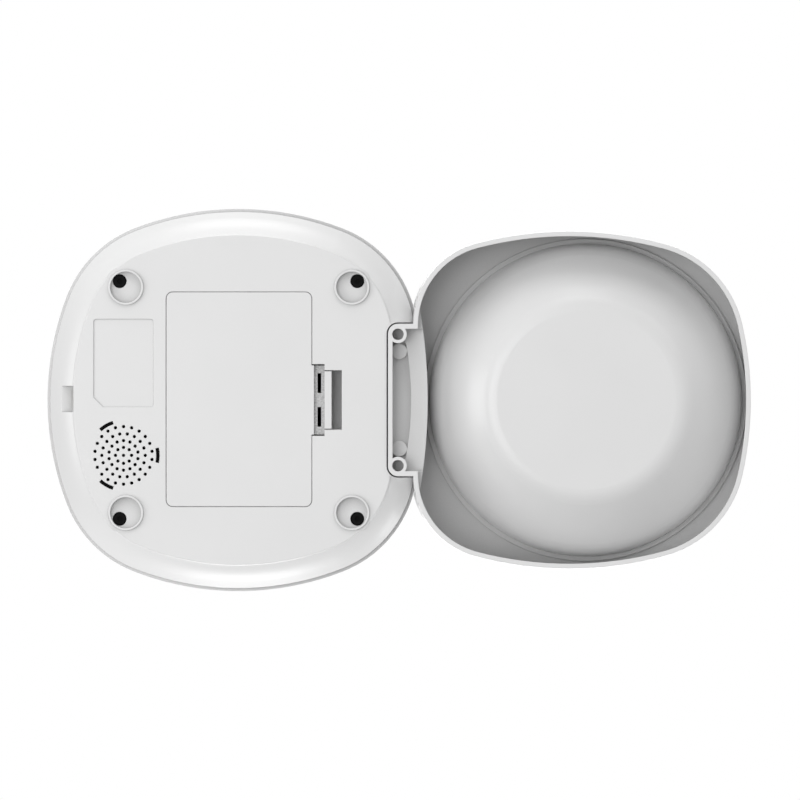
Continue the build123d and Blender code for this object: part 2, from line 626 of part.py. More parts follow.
def make_battery_door():
    door = rounded_block((bay_rear_x, bay_front_x), bay_y, (PLATE_Z, plate_top), DOOR_CORNER)
    hook_l, hook_w, hook_h = DOOR_HOOK
    for side in (-1, 1):
        door += block((bay_rear_x - hook_l, bay_rear_x + 2.5),
                      (side * DOOR_HOOK_Y - hook_w / 2, side * DOOR_HOOK_Y + hook_w / 2),
                      (plate_top, plate_top + hook_h))
    return door + block((bay_front_x - 1, bay_front_x + DOOR_LIP), (-LATCH_STRIP_HALF, LATCH_STRIP_HALF),
                        (PLATE_Z, plate_top))


def make_battery_latch():
    """Grooved spring strip with two slots, and the tab that a finger pulls."""
    half = (-LATCH_STRIP_HALF, LATCH_STRIP_HALF)
    strip = block(latch_strip_x, half, latch_strip_z)
    strip += block((latch_strip_x[0], bay_front_x - 0.4), half, (plate_top + FIT, latch_strip_z[1]))
    tab = block(latch_tab_x, (-LATCH_TAB_HALF, LATCH_TAB_HALF), (PLATE_Z, latch_strip_z[1] + LATCH_TAB_RISE))
    width, length, middle = LATCH_SLOTS
    slot_mid = bay_front_x + 3.85
    slots = [block((slot_mid - width / 2, slot_mid + width / 2),
                   (side * middle - length / 2, side * middle + length / 2), (PLATE_Z, latch_strip_z[1] + 1))
             for side in (-1, 1)]
    return strip + tab - slots


def make_battery_tray():
    """Box over the three cells, open at the bottom, with a flange on three sides."""
    half_y = CELL_COUNT * CELL_DIAMETER / 2 + 0.4
    inner_x = (bay_rear_x + 1.35, bay_front_x - 1.35)
    inner_y = (BAY_CENTRE_Y - half_y, BAY_CENTRE_Y + half_y)
    outer_x = (inner_x[0] - THIN_WALL, inner_x[1] + THIN_WALL)
    outer_y = (inner_y[0] - THIN_WALL, inner_y[1] + THIN_WALL)
    flange = block((outer_x[0], outer_x[1] + 3), (outer_y[0] - 3, outer_y[1] + 3),
                   (plate_top, plate_top + THIN_WALL))
    tray = flange + block(outer_x, outer_y, (plate_top, tray_top))
    tray -= block(inner_x, inner_y, (plate_top - 1, tray_top - THIN_WALL))
    hook_l, hook_w, hook_h = DOOR_HOOK
    for side in (-1, 1):
        tray -= block((bay_rear_x - hook_l - 5, inner_x[0] + 1),
                      (side * DOOR_HOOK_Y - hook_w / 2 - 1, side * DOOR_HOOK_Y + hook_w / 2 + 1),
                      (plate_top - 1, plate_top + hook_h + 2))
    tray -= block((inner_x[1] - 1, outer_x[1] + 10), (-LATCH_STRIP_HALF - 1, LATCH_STRIP_HALF + 1),
                  (plate_top - 1, latch_strip_z[1] + 1.2))
    bx, by = MAIN_BOARD_SIZE
    posts = [(bay_centre_x + sx * (bx / 2 - 5), sy * (by / 2 - 5)) for sx in (-1, 1) for sy in (-1, 1)]
    tray += [peg(x, y, 2.5, tray_top - 0.5, tray_top + MAIN_BOARD_LIFT) for x, y in posts]
    return tray


def make_battery_cell(index):
    """D cell lying along X. The middle one is turned round."""
    y = BAY_CENTRE_Y + (index - (CELL_COUNT - 1) / 2) * CELL_DIAMETER
    z = plate_top + 0.6 + CELL_DIAMETER / 2
    half = CELL_LENGTH / 2
    can = front_peg(y, z, CELL_DIAMETER / 2 - 0.1, bay_centre_x - half, bay_centre_x + half - CELL_NUB_HEIGHT)
    can = fillet(can.edges().filter_by(GeomType.CIRCLE), 1.2)
    nub_x = bay_centre_x + half - CELL_NUB_HEIGHT
    cell = can + front_peg(y, z, CELL_NUB_RADIUS, nub_x - 0.5, nub_x + CELL_NUB_HEIGHT)
    if index % 2 == 0:
        return cell
    return Pos(bay_centre_x, y, 0) * Rot(0, 0, 180) * Pos(-bay_centre_x, -y, 0) * cell


def make_battery_contacts():
    """A leaf with a raised boss at each end of each cell."""
    plates = []
    half = CELL_LENGTH / 2
    walls = (bay_rear_x + 1.35, bay_front_x - 1.35)
    z = plate_top + 0.6 + CELL_DIAMETER / 2
    for index in range(CELL_COUNT):
        y = BAY_CENTRE_Y + (index - (CELL_COUNT - 1) / 2) * CELL_DIAMETER
        for side, wall in zip((-1, 1), walls):
            leaf_x = sorted((wall, wall - side * CONTACT_THICKNESS))
            leaf = block(leaf_x, (y - CONTACT_SIZE / 2, y + CONTACT_SIZE / 2),
                         (z - CONTACT_SIZE / 2, z + CONTACT_SIZE / 2))
            cell_end = bay_centre_x + side * half
            boss_x = sorted((wall, cell_end))
            plates.append(leaf + front_peg(y, z, 3.0, *boss_x))
    return Compound(children=plates)


def make_speaker():
    sx, sy = GRILLE_CENTRE
    basket = peg(sx, sy, SPEAKER_RADIUS, plate_top, plate_top + SPEAKER_RIM_HEIGHT)
    basket -= peg(sx, sy, SPEAKER_RADIUS - 2.0, plate_top - 1, plate_top + 1.5)
    magnet_z = plate_top + SPEAKER_RIM_HEIGHT
    return basket + peg(sx, sy, SPEAKER_MAGNET_RADIUS, magnet_z, magnet_z + SPEAKER_MAGNET_HEIGHT)


def make_usb_socket():
    shell = block(usb_x, usb_y, usb_z)
    shell = fillet(shell.edges().filter_by(Axis.X), USB_HEIGHT * 0.45)
    hollow = block((usb_x[0] - 1, usb_x[1] - 1.5), (usb_y[0] + USB_SHELL, usb_y[1] - USB_SHELL),
                   (usb_z[0] + USB_SHELL, usb_z[1] - USB_SHELL))
    hollow = fillet(hollow.edges().filter_by(Axis.X), USB_HEIGHT * 0.3)
    middle = (usb_z[0] + usb_z[1]) / 2
    tongue = block((usb_x[0] + 1, usb_x[1] - 1), (usb_y[0] + 1.6, usb_y[1] - 1.6),
                   (middle - 0.35, middle + 0.35))
    return shell - hollow + tongue


def make_usb_board():
    return block(usb_board_x, (CABLE_SLOT_Y - 8, CABLE_SLOT_Y + 8),
                 (usb_board_z, usb_board_z + BOARD_THICKNESS))


# ---- tower shells and frame -----------------------------------------------------------------------
def shoulder_profile():
    """Section of the lower shell: upright wall, rounded shoulder and inward flange."""
    r, wall, top = SHOULDER_INSET, SHELL_WALL, SHOULDER_Z
    low, k = shell_z, sqrt(0.5)
    inner_r = r - wall
    flange = -(SHOULDER_INSET + SHOULDER_FLANGE)
    return make_face([
        Line((0, low), (0, top - r)), ThreePointArc((0, top - r), (-r + r * k, top - r + r * k), (-r, top)),
        Line((-r, top), (flange, top)), Line((flange, top), (flange, top - wall)),
        Line((flange, top - wall), (-r, top - wall)),
        ThreePointArc((-r, top - wall), (-r + inner_r * k, top - r + inner_r * k), (-wall, top - r)),
        Line((-wall, top - r), (-wall, low)), Line((-wall, low), (0, low))])


def make_main_housing():
    """Lower shell with the food opening, the gear window and four screw posts."""
    shell = band(tower, shoulder_profile())
    inside = slab(tower, SHELL_WALL / 2, shell_z, SHOULDER_Z - 10)
    post_top = SCREW_BOSS_TOP + POST_HEIGHT
    for x, y in screw_places():
        shell += peg(x, y, POST_RADIUS, SCREW_BOSS_TOP, post_top)
        reach = sorted((y, y + (60 if y > 0 else -60)))
        rib = block((x - POST_RIB / 2, x + POST_RIB / 2), reach, (shell_z + LIP_HEIGHT + 1, post_top))
        shell += rib & inside
    for x, y in screw_places():
        shell -= peg(x, y, SCREW_RADIUS, SCREW_BOSS_TOP - 1, SCREW_SEAT_Z + SCREW_LENGTH + 1)
    gap = CHUTE_HALF_WIDTH + FIT
    front = (TOWER_FRONT_X - 12, TOWER_FRONT_X + 5)
    shell -= block(front, (-gap, gap), (HOOD_BOTTOM, HINGE_Z + HOOD_RADIUS - HOOD_WALL - 0.8))
    idler_reach = COVER_MODULE * (IDLER_TEETH / 2 + 1) - 0.8
    shell -= block(front, (-HOOD_HALF_WIDTH + HOOD_WALL, -gap + 0.1),
                   (idler_z - idler_reach, idler_z + idler_reach))
    return shell


def make_chassis_plate():
    """Frame plate that rests on the shoulder and carries the portion wheel."""
    plate = slab(tower, upper_inner + FIT, SHOULDER_Z, chassis_top)
    reach = NECK_TUBE_HALF + 1.5
    side = ROTOR_HALF_WIDTH + ROTOR_SIDE_GAP + THIN_WALL + 1.2
    plate -= block((ROTOR_X - reach, ROTOR_X + reach), (feed_plate_y - BRACKET_THICKNESS - 1.5, side),
                   (SHOULDER_Z - 1, chassis_top + 1))
    return plate


def make_hopper_housing():
    """Upper shell with the display opening, the button holes, board standoffs and hinge ears."""
    shell = tube(tower, upper_inset, upper_inner, SHOULDER_Z, UPPER_TOP)
    front = (TOWER_FRONT_X - 16, TOWER_FRONT_X)
    shell -= block(front, (-DISPLAY_HALF_WIDTH, DISPLAY_HALF_WIDTH), DISPLAY_Z)
    for y in button_places():
        shell -= front_peg(y, BUTTON_Z, BUTTON_RADIUS + 0.25, *front)
    outside = slab(tower, upper_inset + 0.5, SHOULDER_Z, UPPER_TOP)
    for y, z in standoff_places():
        post = front_peg(y, z, STANDOFF_RADIUS, CONTROL_BOARD_X + BOARD_THICKNESS, TOWER_FRONT_X)
        shell += post & outside
    ears = [cross_peg(lid_hinge_x, lid_hinge_z, LID_KNUCKLE_RADIUS, side * (LID_KNUCKLE_HALF + FIT),
                      side * (LID_KNUCKLE_HALF + LID_EAR)) for side in (-1, 1)]
    roots = [block((lid_hinge_x - 1.2, upper_rear_x + 4.6),
                   sorted((side * (LID_KNUCKLE_HALF + FIT), side * (LID_KNUCKLE_HALF + LID_EAR))),
                   (lid_hinge_z - 9, UPPER_TOP)) for side in (-1, 1)]
    ears += [root - slab(tower, upper_inner, SHOULDER_Z, UPPER_TOP + 1) for root in roots]
    shell += ears
    gap_half = LID_KNUCKLE_HALF + FIT
    shell -= cross_peg(lid_hinge_x, lid_hinge_z, LID_KNUCKLE_RADIUS + 0.5, -gap_half, gap_half)
    pin_half = LID_KNUCKLE_HALF + LID_EAR + 1
    return shell - cross_peg(lid_hinge_x, lid_hinge_z, LID_PIN_RADIUS + SHAFT_FIT, -pin_half, pin_half)


def button_places():
    return [k * BUTTON_PITCH for k in (-1, 0, 1)]


def standoff_places():
    y, (z0, z1) = CONTROL_BOARD_HALF - 3.5, CONTROL_BOARD_Z
    return [(s * y, z) for s in (-1, 1) for z in (z0 + 4, z1 - 3)]


# ---- stand and bowl -------------------------------------------------------------------------------
def stand_skirt(inset, z0, z1):
    """Flared prism of the stand's outline: it grows by STAND_FLARE from the floor to the deck."""
    def grown(z):
        return outline_face(stand, inset - STAND_FLARE * z / STAND_HEIGHT, z)
    return loft([grown(z0), grown(z1)], ruled=True)


def well_solid(inset, top):
    """Round well drawn in by inset: flat floor, three tangent arcs and an upright wall."""
    sines = [0.0] + [sin(radians(a)) for a in WELL_ARC_ANGLES]
    flat = WELL_RADIUS - sum(r * (b - a) for r, a, b in zip(WELL_ARC_RADII, sines, sines[1:]))
    x, z, slope = flat, WELL_FLOOR_Z + inset, 0.0
    lines = [Line((0, z), (flat, z))]
    for arc_radius, end in zip(WELL_ARC_RADII, WELL_ARC_ANGLES):
        r = arc_radius - inset
        a, b = radians(slope), radians(end)
        middle, last = [(x + r * (sin(t) - sin(a)), z + r * (cos(a) - cos(t))) for t in ((a + b) / 2, b)]
        lines.append(ThreePointArc((x, z), middle, last))
        (x, z), slope = last, end
    lines += [Line((x, z), (x, top)), Line((x, top), (0, top)), Line((0, top), (0, WELL_FLOOR_Z + inset))]
    upright = Plane((BOWL_X, 0, 0), x_dir=(1, 0, 0), z_dir=(0, -1, 0))
    return revolve(upright * make_face(lines), Axis((BOWL_X, 0, 0), (0, 0, 1)), 360)


def neck_hollow():
    """Room under the neck's web, open towards the stand's inside."""
    half = NECK_HALF_WIDTH - STAND_WALL - 0.25
    return rounded_block((NECK_REAR_X + STAND_WALL, BOWL_X), (-half, half), (-1, NECK_WEB_Z),
                         NECK_CORNER - STAND_WALL)


def neck_solid():
    """Short neck under the tower: U-shaped wall, web, deeper trough, two screw bosses and two pads."""
    half = NECK_HALF_WIDTH
    outer = rounded_block((NECK_REAR_X, BOWL_X), (-half, half), (0, NECK_TOP), NECK_CORNER)
    outer &= slab(tower, -TOWER_GAP - STAND_WALL, 0, NECK_TOP)
    hollow = neck_hollow()
    trough = hollow.moved(Location((0, 0, NECK_TROUGH_Z - NECK_WEB_Z)))
    trough &= peg(NECK_TROUGH_X - NECK_TROUGH_RADIUS, 0, NECK_TROUGH_RADIUS, -1, NECK_TROUGH_Z)
    trough &= block((NECK_REAR_X, BOWL_X), (-NECK_PAD[1] - 5, NECK_PAD[1] + 5), (-1, NECK_TROUGH_Z))
    neck = outer - hollow - trough
    for side in (-1, 1):
        neck += peg(NECK_BOSS[0], side * NECK_BOSS[1], NECK_BOSS_RADIUS, 0, NECK_TOP - 1)
        neck += peg(NECK_PAD[0], side * NECK_PAD[1], NECK_PAD_RADIUS, NECK_WEB_Z, NECK_TROUGH_Z + 0.5)
    for side in (-1, 1):
        neck -= peg(NECK_BOSS[0], side * NECK_BOSS[1], NECK_BOSS_BORE, -1, NECK_BOSS_DEPTH)
    return neck


def make_bowl_stand():
    """Hollow skirt with a deck, a sunk seat and a round well for the bowl, and the neck at its rear."""
    clear = slab(tower, -TOWER_GAP, STAND_STEP_Z, STAND_HEIGHT + 1)
    wall_limit = slab(tower, -TOWER_GAP - STAND_WALL, STAND_STEP_Z - STAND_WALL, STAND_HEIGHT + 1)
    body = stand_skirt(0.0, 0, STAND_HEIGHT)
    body = fillet(body.edges().group_by(Axis.Z)[-1], DECK_EDGE_RADIUS)
    body -= clear
    cavity = stand_skirt(STAND_WALL, 0, deck_z)
    cavity -= wall_limit
    cavity += slab(stand, STAND_WALL, -1, 0.5)
    body -= cavity
    body -= neck_hollow()
    body += neck_solid() - stand_skirt(STAND_WALL, -1, NECK_WEB_Z)
    limit = stand_skirt(0.5, 0, STAND_HEIGHT)
    body += well_solid(0.0, deck_z + 0.5) & limit
    body += peg(BOWL_X, 0, SEAT_RADIUS, seat_z - WELL_WALL, STAND_HEIGHT) & (limit - clear)
    body -= peg(BOWL_X, 0, SEAT_RADIUS - WELL_WALL, seat_z, STAND_HEIGHT + 1)
    return body - well_solid(WELL_WALL, STAND_HEIGHT + 1)


def make_food_bowl():
    """Pressed steel bowl that hangs by its flange in the stand's seat."""
    outside = WELL_WALL + BOWL_GAP
    top = seat_z + BOWL_WALL
    bowl = well_solid(outside, top)
    bowl += peg(BOWL_X, 0, SEAT_RADIUS - WELL_WALL - BOWL_FLANGE_GAP, seat_z, top)
    return bowl - well_solid(outside + BOWL_WALL, top + 1)


# ---- spout, chute, cover --------------------------------------------------------------------------
def quarter_round(radius, rear_x, bottom):
    """Outline in X and Z of a block whose front top corner is a quarter circle about the hinge line."""
    k = sqrt(0.5)
    top, front = (HINGE_X, HINGE_Z + radius), (HINGE_X + radius, HINGE_Z)
    corner = (HINGE_X + radius * k, HINGE_Z + radius * k)
    return [Line((rear_x, bottom), (rear_x, top[1])), Line((rear_x, top[1]), top),
            ThreePointArc(top, corner, front), Line(front, (front[0], bottom)),
            Line((front[0], bottom), (rear_x, bottom))]


def make_spout_hood():
    """Quarter-round hood on the tower's front, with a bore for the cover's shaft in each cheek."""
    rear = TOWER_FRONT_X - 12
    half = HOOD_HALF_WIDTH
    hood = side_profile(quarter_round(HOOD_RADIUS, rear, HOOD_BOTTOM), -half, half)
    inner = half - HOOD_WALL
    hood -= side_profile(quarter_round(HOOD_RADIUS - HOOD_WALL, rear - 1, HOOD_BOTTOM - 1), -inner, inner)
    gap = CHUTE_HALF_WIDTH + FIT
    for side in (-1, 1):
        hood += block((rear, HINGE_X + HOOD_RADIUS - HOOD_WALL / 2), sorted((side * gap, side * half)),
                      (HOOD_BOTTOM, HOOD_BOTTOM + HOOD_FLOOR))
    hood -= slab(tower, 0.0, HOOD_BOTTOM - 2, SHOULDER_Z)
    return hood - cross_peg(HINGE_X, HINGE_Z, HINGE_SHAFT_RADIUS + SHAFT_FIT, -half - 1, half + 1)


spout_radius = HOOD_RADIUS - HOOD_WALL - COIL_THICKNESS - 3 * COIL_GAP
chute_inlet_x = (ROTOR_X - OUTLET_HALF_LENGTH - THIN_WALL, ROTOR_X + OUTLET_HALF_LENGTH + THIN_WALL)
chute_bottom = HOOD_BOTTOM + 1.0


def make_food_chute():
    """Closed sloping channel from the portion wheel to the spout over the bowl's rear edge."""
    k = sqrt(0.5)
    rear, front = chute_inlet_x
    inlet, r = OUTLET_BOTTOM, spout_radius
    top, tip = (HINGE_X, HINGE_Z + r), (HINGE_X + r, HINGE_Z)
    shoulder = (TOWER_FRONT_X - 3.0, top[1])
    corner = (HINGE_X + r * k, HINGE_Z + r * k)
    low_tip, low_rear = (tip[0], chute_bottom), (chute_floor_end - 2, chute_bottom)
    rear_low = (rear, inlet - CHUTE_REAR_HEIGHT)
    outline = make_face([Line((rear, inlet), (front, inlet)), Line((front, inlet), shoulder),
                         Line(shoulder, top), ThreePointArc(top, corner, tip),
                         Line(tip, low_tip), Line(low_tip, low_rear),
                         Line(low_rear, rear_low), Line(rear_low, (rear, inlet))])
    upright = Plane((0, CHUTE_HALF_WIDTH, 0), x_dir=(1, 0, 0), z_dir=(0, -1, 0))
    chute = extrude(upright * outline, 2 * CHUTE_HALF_WIDTH)
    inner = offset(outline, amount=-CHUTE_WALL)
    half = CHUTE_HALF_WIDTH - CHUTE_WALL
    chute -= extrude(Plane((0, half, 0), x_dir=(1, 0, 0), z_dir=(0, -1, 0)) * inner, 2 * half)
    chute -= block((rear + CHUTE_WALL, front - CHUTE_WALL), (-half, half),
                   (inlet - CHUTE_WALL - 1, inlet + 1))
    chute -= block((chute_floor_end, tip[0] - CHUTE_WALL), (-half, half),
                   (chute_bottom - 1, chute_bottom + CHUTE_WALL + 1))
    return chute


def make_antenna_coil():
    """Reader coil: a rectangular loop bent round the spout, under the hood."""
    inner_r = spout_radius + COIL_GAP
    outer_r = inner_r + COIL_THICKNESS
    half = HOOD_HALF_WIDTH - HOOD_WALL - 1.0
    a0, a1 = (radians(a) for a in COIL_ANGLES)

    def at(r, a):
        return (HINGE_X + r * cos(a), HINGE_Z + r * sin(a))

    middle = (a0 + a1) / 2
    inside, outside = ([at(r, a) for a in (a0, middle, a1)] for r in (inner_r, outer_r))
    loop = side_profile([ThreePointArc(*inside), Line(inside[2], outside[2]),
                         ThreePointArc(*reversed(outside)), Line(outside[0], inside[0])], -half, half)
    bar = COIL_BAR / outer_r
    low, high = at(99, a0 + bar), at(99, a1 - bar)
    wedge = [Line((HINGE_X, HINGE_Z), low), Line(low, high), Line(high, (HINGE_X, HINGE_Z))]
    return loop - side_profile(wedge, -half + COIL_BAR, half - COIL_BAR)


def make_bowl_cover():
    """Clear cover, closed over the bowl: shallow lid cut out round the hood, with two hinge ears."""
    edge, top, bottom, r = COVER_INSET, COVER_TOP, COVER_BOTTOM, COVER_EDGE_RADIUS
    grown = [(c, radius + STAND_FLARE, s, e) for c, radius, s, e in stand]
    k, inner = sqrt(0.5), COVER_EDGE_RADIUS - COVER_WALL
    profile = make_face([
        Line((-edge, bottom), (-edge, top - r)),
        ThreePointArc((-edge, top - r), (-edge - r + r * k, top - r + r * k), (-edge - r, top)),
        Line((-edge - r, top), (-edge - r, top - COVER_WALL)),
        ThreePointArc((-edge - r, top - COVER_WALL), (-edge - r + inner * k, top - r + inner * k),
                      (-edge - COVER_WALL, top - r)),
        Line((-edge - COVER_WALL, top - r), (-edge - COVER_WALL, bottom)),
        Line((-edge - COVER_WALL, bottom), (-edge, bottom))])
    rear = HINGE_X + COVER_REAR_GAP
    cover = band(grown, profile) + slab(grown, edge + r, top - COVER_WALL, top)
    cover &= block((rear, STAND_FRONT_X + 20), (-STAND_WIDTH, STAND_WIDTH), (bottom, top))
    cover += slab(grown, edge + r / 2, bottom, top - COVER_WALL / 2) & \
        block((rear, rear + COVER_WALL), (-STAND_WIDTH, STAND_WIDTH), (bottom, top))
    notch_half = HOOD_HALF_WIDTH + COVER_SIDE_GAP
    hole_r = HOOD_RADIUS + COVER_HOOD_GAP
    cheek = block((rear, HINGE_X + hole_r + COVER_WALL), (-notch_half - COVER_WALL, notch_half + COVER_WALL),
                  (bottom + 2, top - COVER_WALL / 2))
    cover += cheek
    for side in (-1, 1):
        ear_y = sorted((side * notch_half, side * (notch_half + EAR_WIDTH)))
        cover += cross_peg(HINGE_X, HINGE_Z, EAR_RADIUS, *ear_y)
        cover += block((HINGE_X, HINGE_X + 14), ear_y, (HINGE_Z - EAR_RADIUS + 1.5, COVER_TOP - 0.5))
    cover -= block((HINGE_X - 10, HINGE_X + hole_r), (-notch_half, notch_half), (bottom - 5, top + 5))
    ear_end = notch_half + EAR_WIDTH + 1
    return cover - cross_peg(HINGE_X, HINGE_Z, HINGE_SHAFT_RADIUS + HUB_FIT, -ear_end, ear_end)


ear_outer = HOOD_HALF_WIDTH + COVER_SIDE_GAP + EAR_WIDTH
cover_gear_y = (COVER_GEAR_Y, COVER_GEAR_Y + COVER_GEAR_WIDTH)


def make_bracket():
    """Plate that carries the cover motor and the idler's axle, standing on the neck's housing."""
    y0, y1 = bracket_y - BRACKET_THICKNESS, bracket_y
    foot_z = neck_roof + THIN_WALL
    x1 = TOWER_FRONT_X - SHELL_WALL - 4.0
    low = NECK_REAR_X - NECK_GAP - THIN_WALL + 1.5
    lip_end = shell_z + LIP_HEIGHT + 1
    plate = block((low, x1), (y0, y1), (lip_end, idler_z + 7))
    plate += block((low, x1 - 2.5), (y0, y1), (foot_z, lip_end + 1))
    plate += block((low, x1 - 2.5), (y0 - 8, y1), (foot_z, foot_z + BRACKET_THICKNESS))
    plate += cross_peg(cover_pinion_x, idler_z, COVER_MOTOR_RADIUS + 1.5, y0, y1)
    plate += block((cover_pinion_x, low + 1), (y0, y1), (idler_z - 8, idler_z + 8))
    plate -= cross_peg(cover_pinion_x, idler_z, MOTOR_SHAFT_RADIUS + 1.0, y0 - 1, y1 + 1)
    return plate - cross_peg(idler_x, idler_z, IDLER_AXLE_RADIUS, y0 - 1, y1 + 1)


# ---- portion wheel --------------------------------------------------------------------------------
def make_rotor_housing():
    """Round chamber of the wheel, with a square throat above it, an outlet below and two flanges."""
    r = ROTOR_RADIUS + ROTOR_GAP
    half = ROTOR_HALF_WIDTH + ROTOR_SIDE_GAP
    reach = NECK_TUBE_HALF
    top = HOPPER_OUTLET_Z
    body = cross_peg(ROTOR_X, ROTOR_Z, r + THIN_WALL, -half - THIN_WALL, half + THIN_WALL)
    body += block((ROTOR_X - reach, ROTOR_X + reach), (-half - THIN_WALL, half + THIN_WALL), (ROTOR_Z, top))
    body += block((ROTOR_X - reach - 8, ROTOR_X + reach + 8), (-half - 9, half + 9), (top - THIN_WALL, top))
    outlet_half = CHUTE_HALF_WIDTH
    body += block(chute_inlet_x, (-outlet_half, outlet_half), (OUTLET_BOTTOM, ROTOR_Z - 20))
    flange_z = (chassis_top, chassis_top + 2.5)
    for side in (-1, 1):
        flange_x = sorted((ROTOR_X + side * (reach - 3), ROTOR_X + side * (reach + 6)))
        body += block(flange_x, (-half, half), flange_z)
    body -= cross_peg(ROTOR_X, ROTOR_Z, r, -half, half)
    inner = reach - THIN_WALL
    body -= block((ROTOR_X - inner, ROTOR_X + inner), (-half, half), (ROTOR_Z + 14, top + 1))
    out = OUTLET_HALF_LENGTH
    body -= block((ROTOR_X - out, ROTOR_X + out), (-outlet_half + THIN_WALL, outlet_half - THIN_WALL),
                  (OUTLET_BOTTOM - 1, ROTOR_Z - 15))
    return body - cross_peg(ROTOR_X, ROTOR_Z, ROTOR_SHAFT_RADIUS + SHAFT_FIT, -half - 5, half + 5)


def make_portion_rotor():
    rotor = cross_peg(ROTOR_X, ROTOR_Z, ROTOR_HUB_RADIUS, -ROTOR_HALF_WIDTH, ROTOR_HALF_WIDTH)
    for k in range(ROTOR_VANES):
        vane = Pos((ROTOR_RADIUS - 0.2) / 2, 0, 0) * Box(ROTOR_RADIUS - 0.2, 2 * ROTOR_HALF_WIDTH, ROTOR_VANE)
        rotor += Pos(ROTOR_X, 0, ROTOR_Z) * Rot(0, 360 * k / ROTOR_VANES + 30, 0) * vane
    return rotor - cross_peg(ROTOR_X, ROTOR_Z, ROTOR_SHAFT_RADIUS + HUB_FIT, -50, 50)


def pillar_places():
    angles = (radians(38), pi / 2, radians(-38))
    return [(ROTOR_X + PILLAR_REACH * cos(a), ROTOR_Z + PILLAR_REACH * sin(a)) for a in angles]


def make_feed_gear_plate():
    y0, y1 = feed_plate_y - BRACKET_THICKNESS, feed_plate_y
    top = ROTOR_Z + PILLAR_REACH + PILLAR_RADIUS
    plate = block((ROTOR_X - 20, ROTOR_X + 27), (y0, y1), (ROTOR_Z - 22, top))
    plate += block((feed_pinion_x - 8, ROTOR_X), (y0, y1), (chassis_top + 1, top - 4))
    plate += cross_peg(feed_pinion_x, feed_pinion_z, FEED_MOTOR_RADIUS + 1, y0, y1)
    wall = -(ROTOR_HALF_WIDTH + ROTOR_SIDE_GAP + THIN_WALL)
    plate += [cross_peg(x, z, PILLAR_RADIUS, y1 - 0.5, wall) for x, z in pillar_places()]
    plate -= cross_peg(ROTOR_X, ROTOR_Z, ROTOR_SHAFT_RADIUS + SHAFT_FIT, y0 - 1, y1 + 1)
    return plate - cross_peg(feed_pinion_x, feed_pinion_z, FEED_SHAFT_RADIUS + 1.0, y0 - 1, y1 + 1)


def motor(x, z, radius, y_face, length, shaft_radius, shaft_end):
    """Round gear motor with its shaft towards +Y."""
    body = cross_peg(x, z, radius, y_face - length, y_face)
    body = fillet(body.edges().group_by(Axis.Y)[0], 1.0)
    body += cross_peg(x, z, radius * 0.5, y_face - length - 2.0, y_face - length + 0.5)
    return body + cross_peg(x, z, shaft_radius, y_face - 0.5, shaft_end)


# ---- hopper and lid -------------------------------------------------------------------------------
def make_hopper_bin():
    """Food hopper: straight walls, funnel down to the portion wheel, flat front and a rim."""
    low, knee = HOPPER_OUTLET_Z, HOPPER_OUTLET_Z + BIN_FUNNEL_INSET
    wall = THIN_WALL
    slant = wall * sqrt(2)
    foot = bin_outer + BIN_FUNNEL_INSET
    outer = make_face(Polyline((-bin_outer, UPPER_TOP), (-bin_outer, knee), (-foot, low),
                               (-foot - wall, low), (-foot - wall, UPPER_TOP), close=True))
    knee_in = knee + slant - wall
    low_in = knee_in - (foot + wall - 0.2 - bin_inner)
    inner = make_face(Polyline((-bin_inner, UPPER_TOP + 5), (-bin_inner, knee_in),
                               (-foot - wall + 0.2, low_in), (-foot - wall + 0.2, UPPER_TOP + 5), close=True))
    all_y, all_z = (-TOWER_WIDTH, TOWER_WIDTH), (low - 1, UPPER_TOP + 6)
    front = block((tower_rear_x, BIN_FRONT_X), all_y, all_z)
    front_inner = block((tower_rear_x, BIN_FRONT_X - wall), all_y, all_z)
    solid = (band(tower, outer) + slab(tower, foot + wall - 0.1, low, UPPER_TOP)) & front
    solid += slab(tower, upper_inset + 0.2, UPPER_TOP, bin_rim_z)
    core = (band(tower, inner) + slab(tower, foot + wall - 0.4, low - 1, UPPER_TOP + 5)) & front_inner
    hinge_half = LID_KNUCKLE_HALF + LID_EAR + 0.5
    notch = cross_peg(lid_hinge_x, lid_hinge_z, LID_KNUCKLE_RADIUS + 0.5, -hinge_half, hinge_half)
    return solid - core - notch


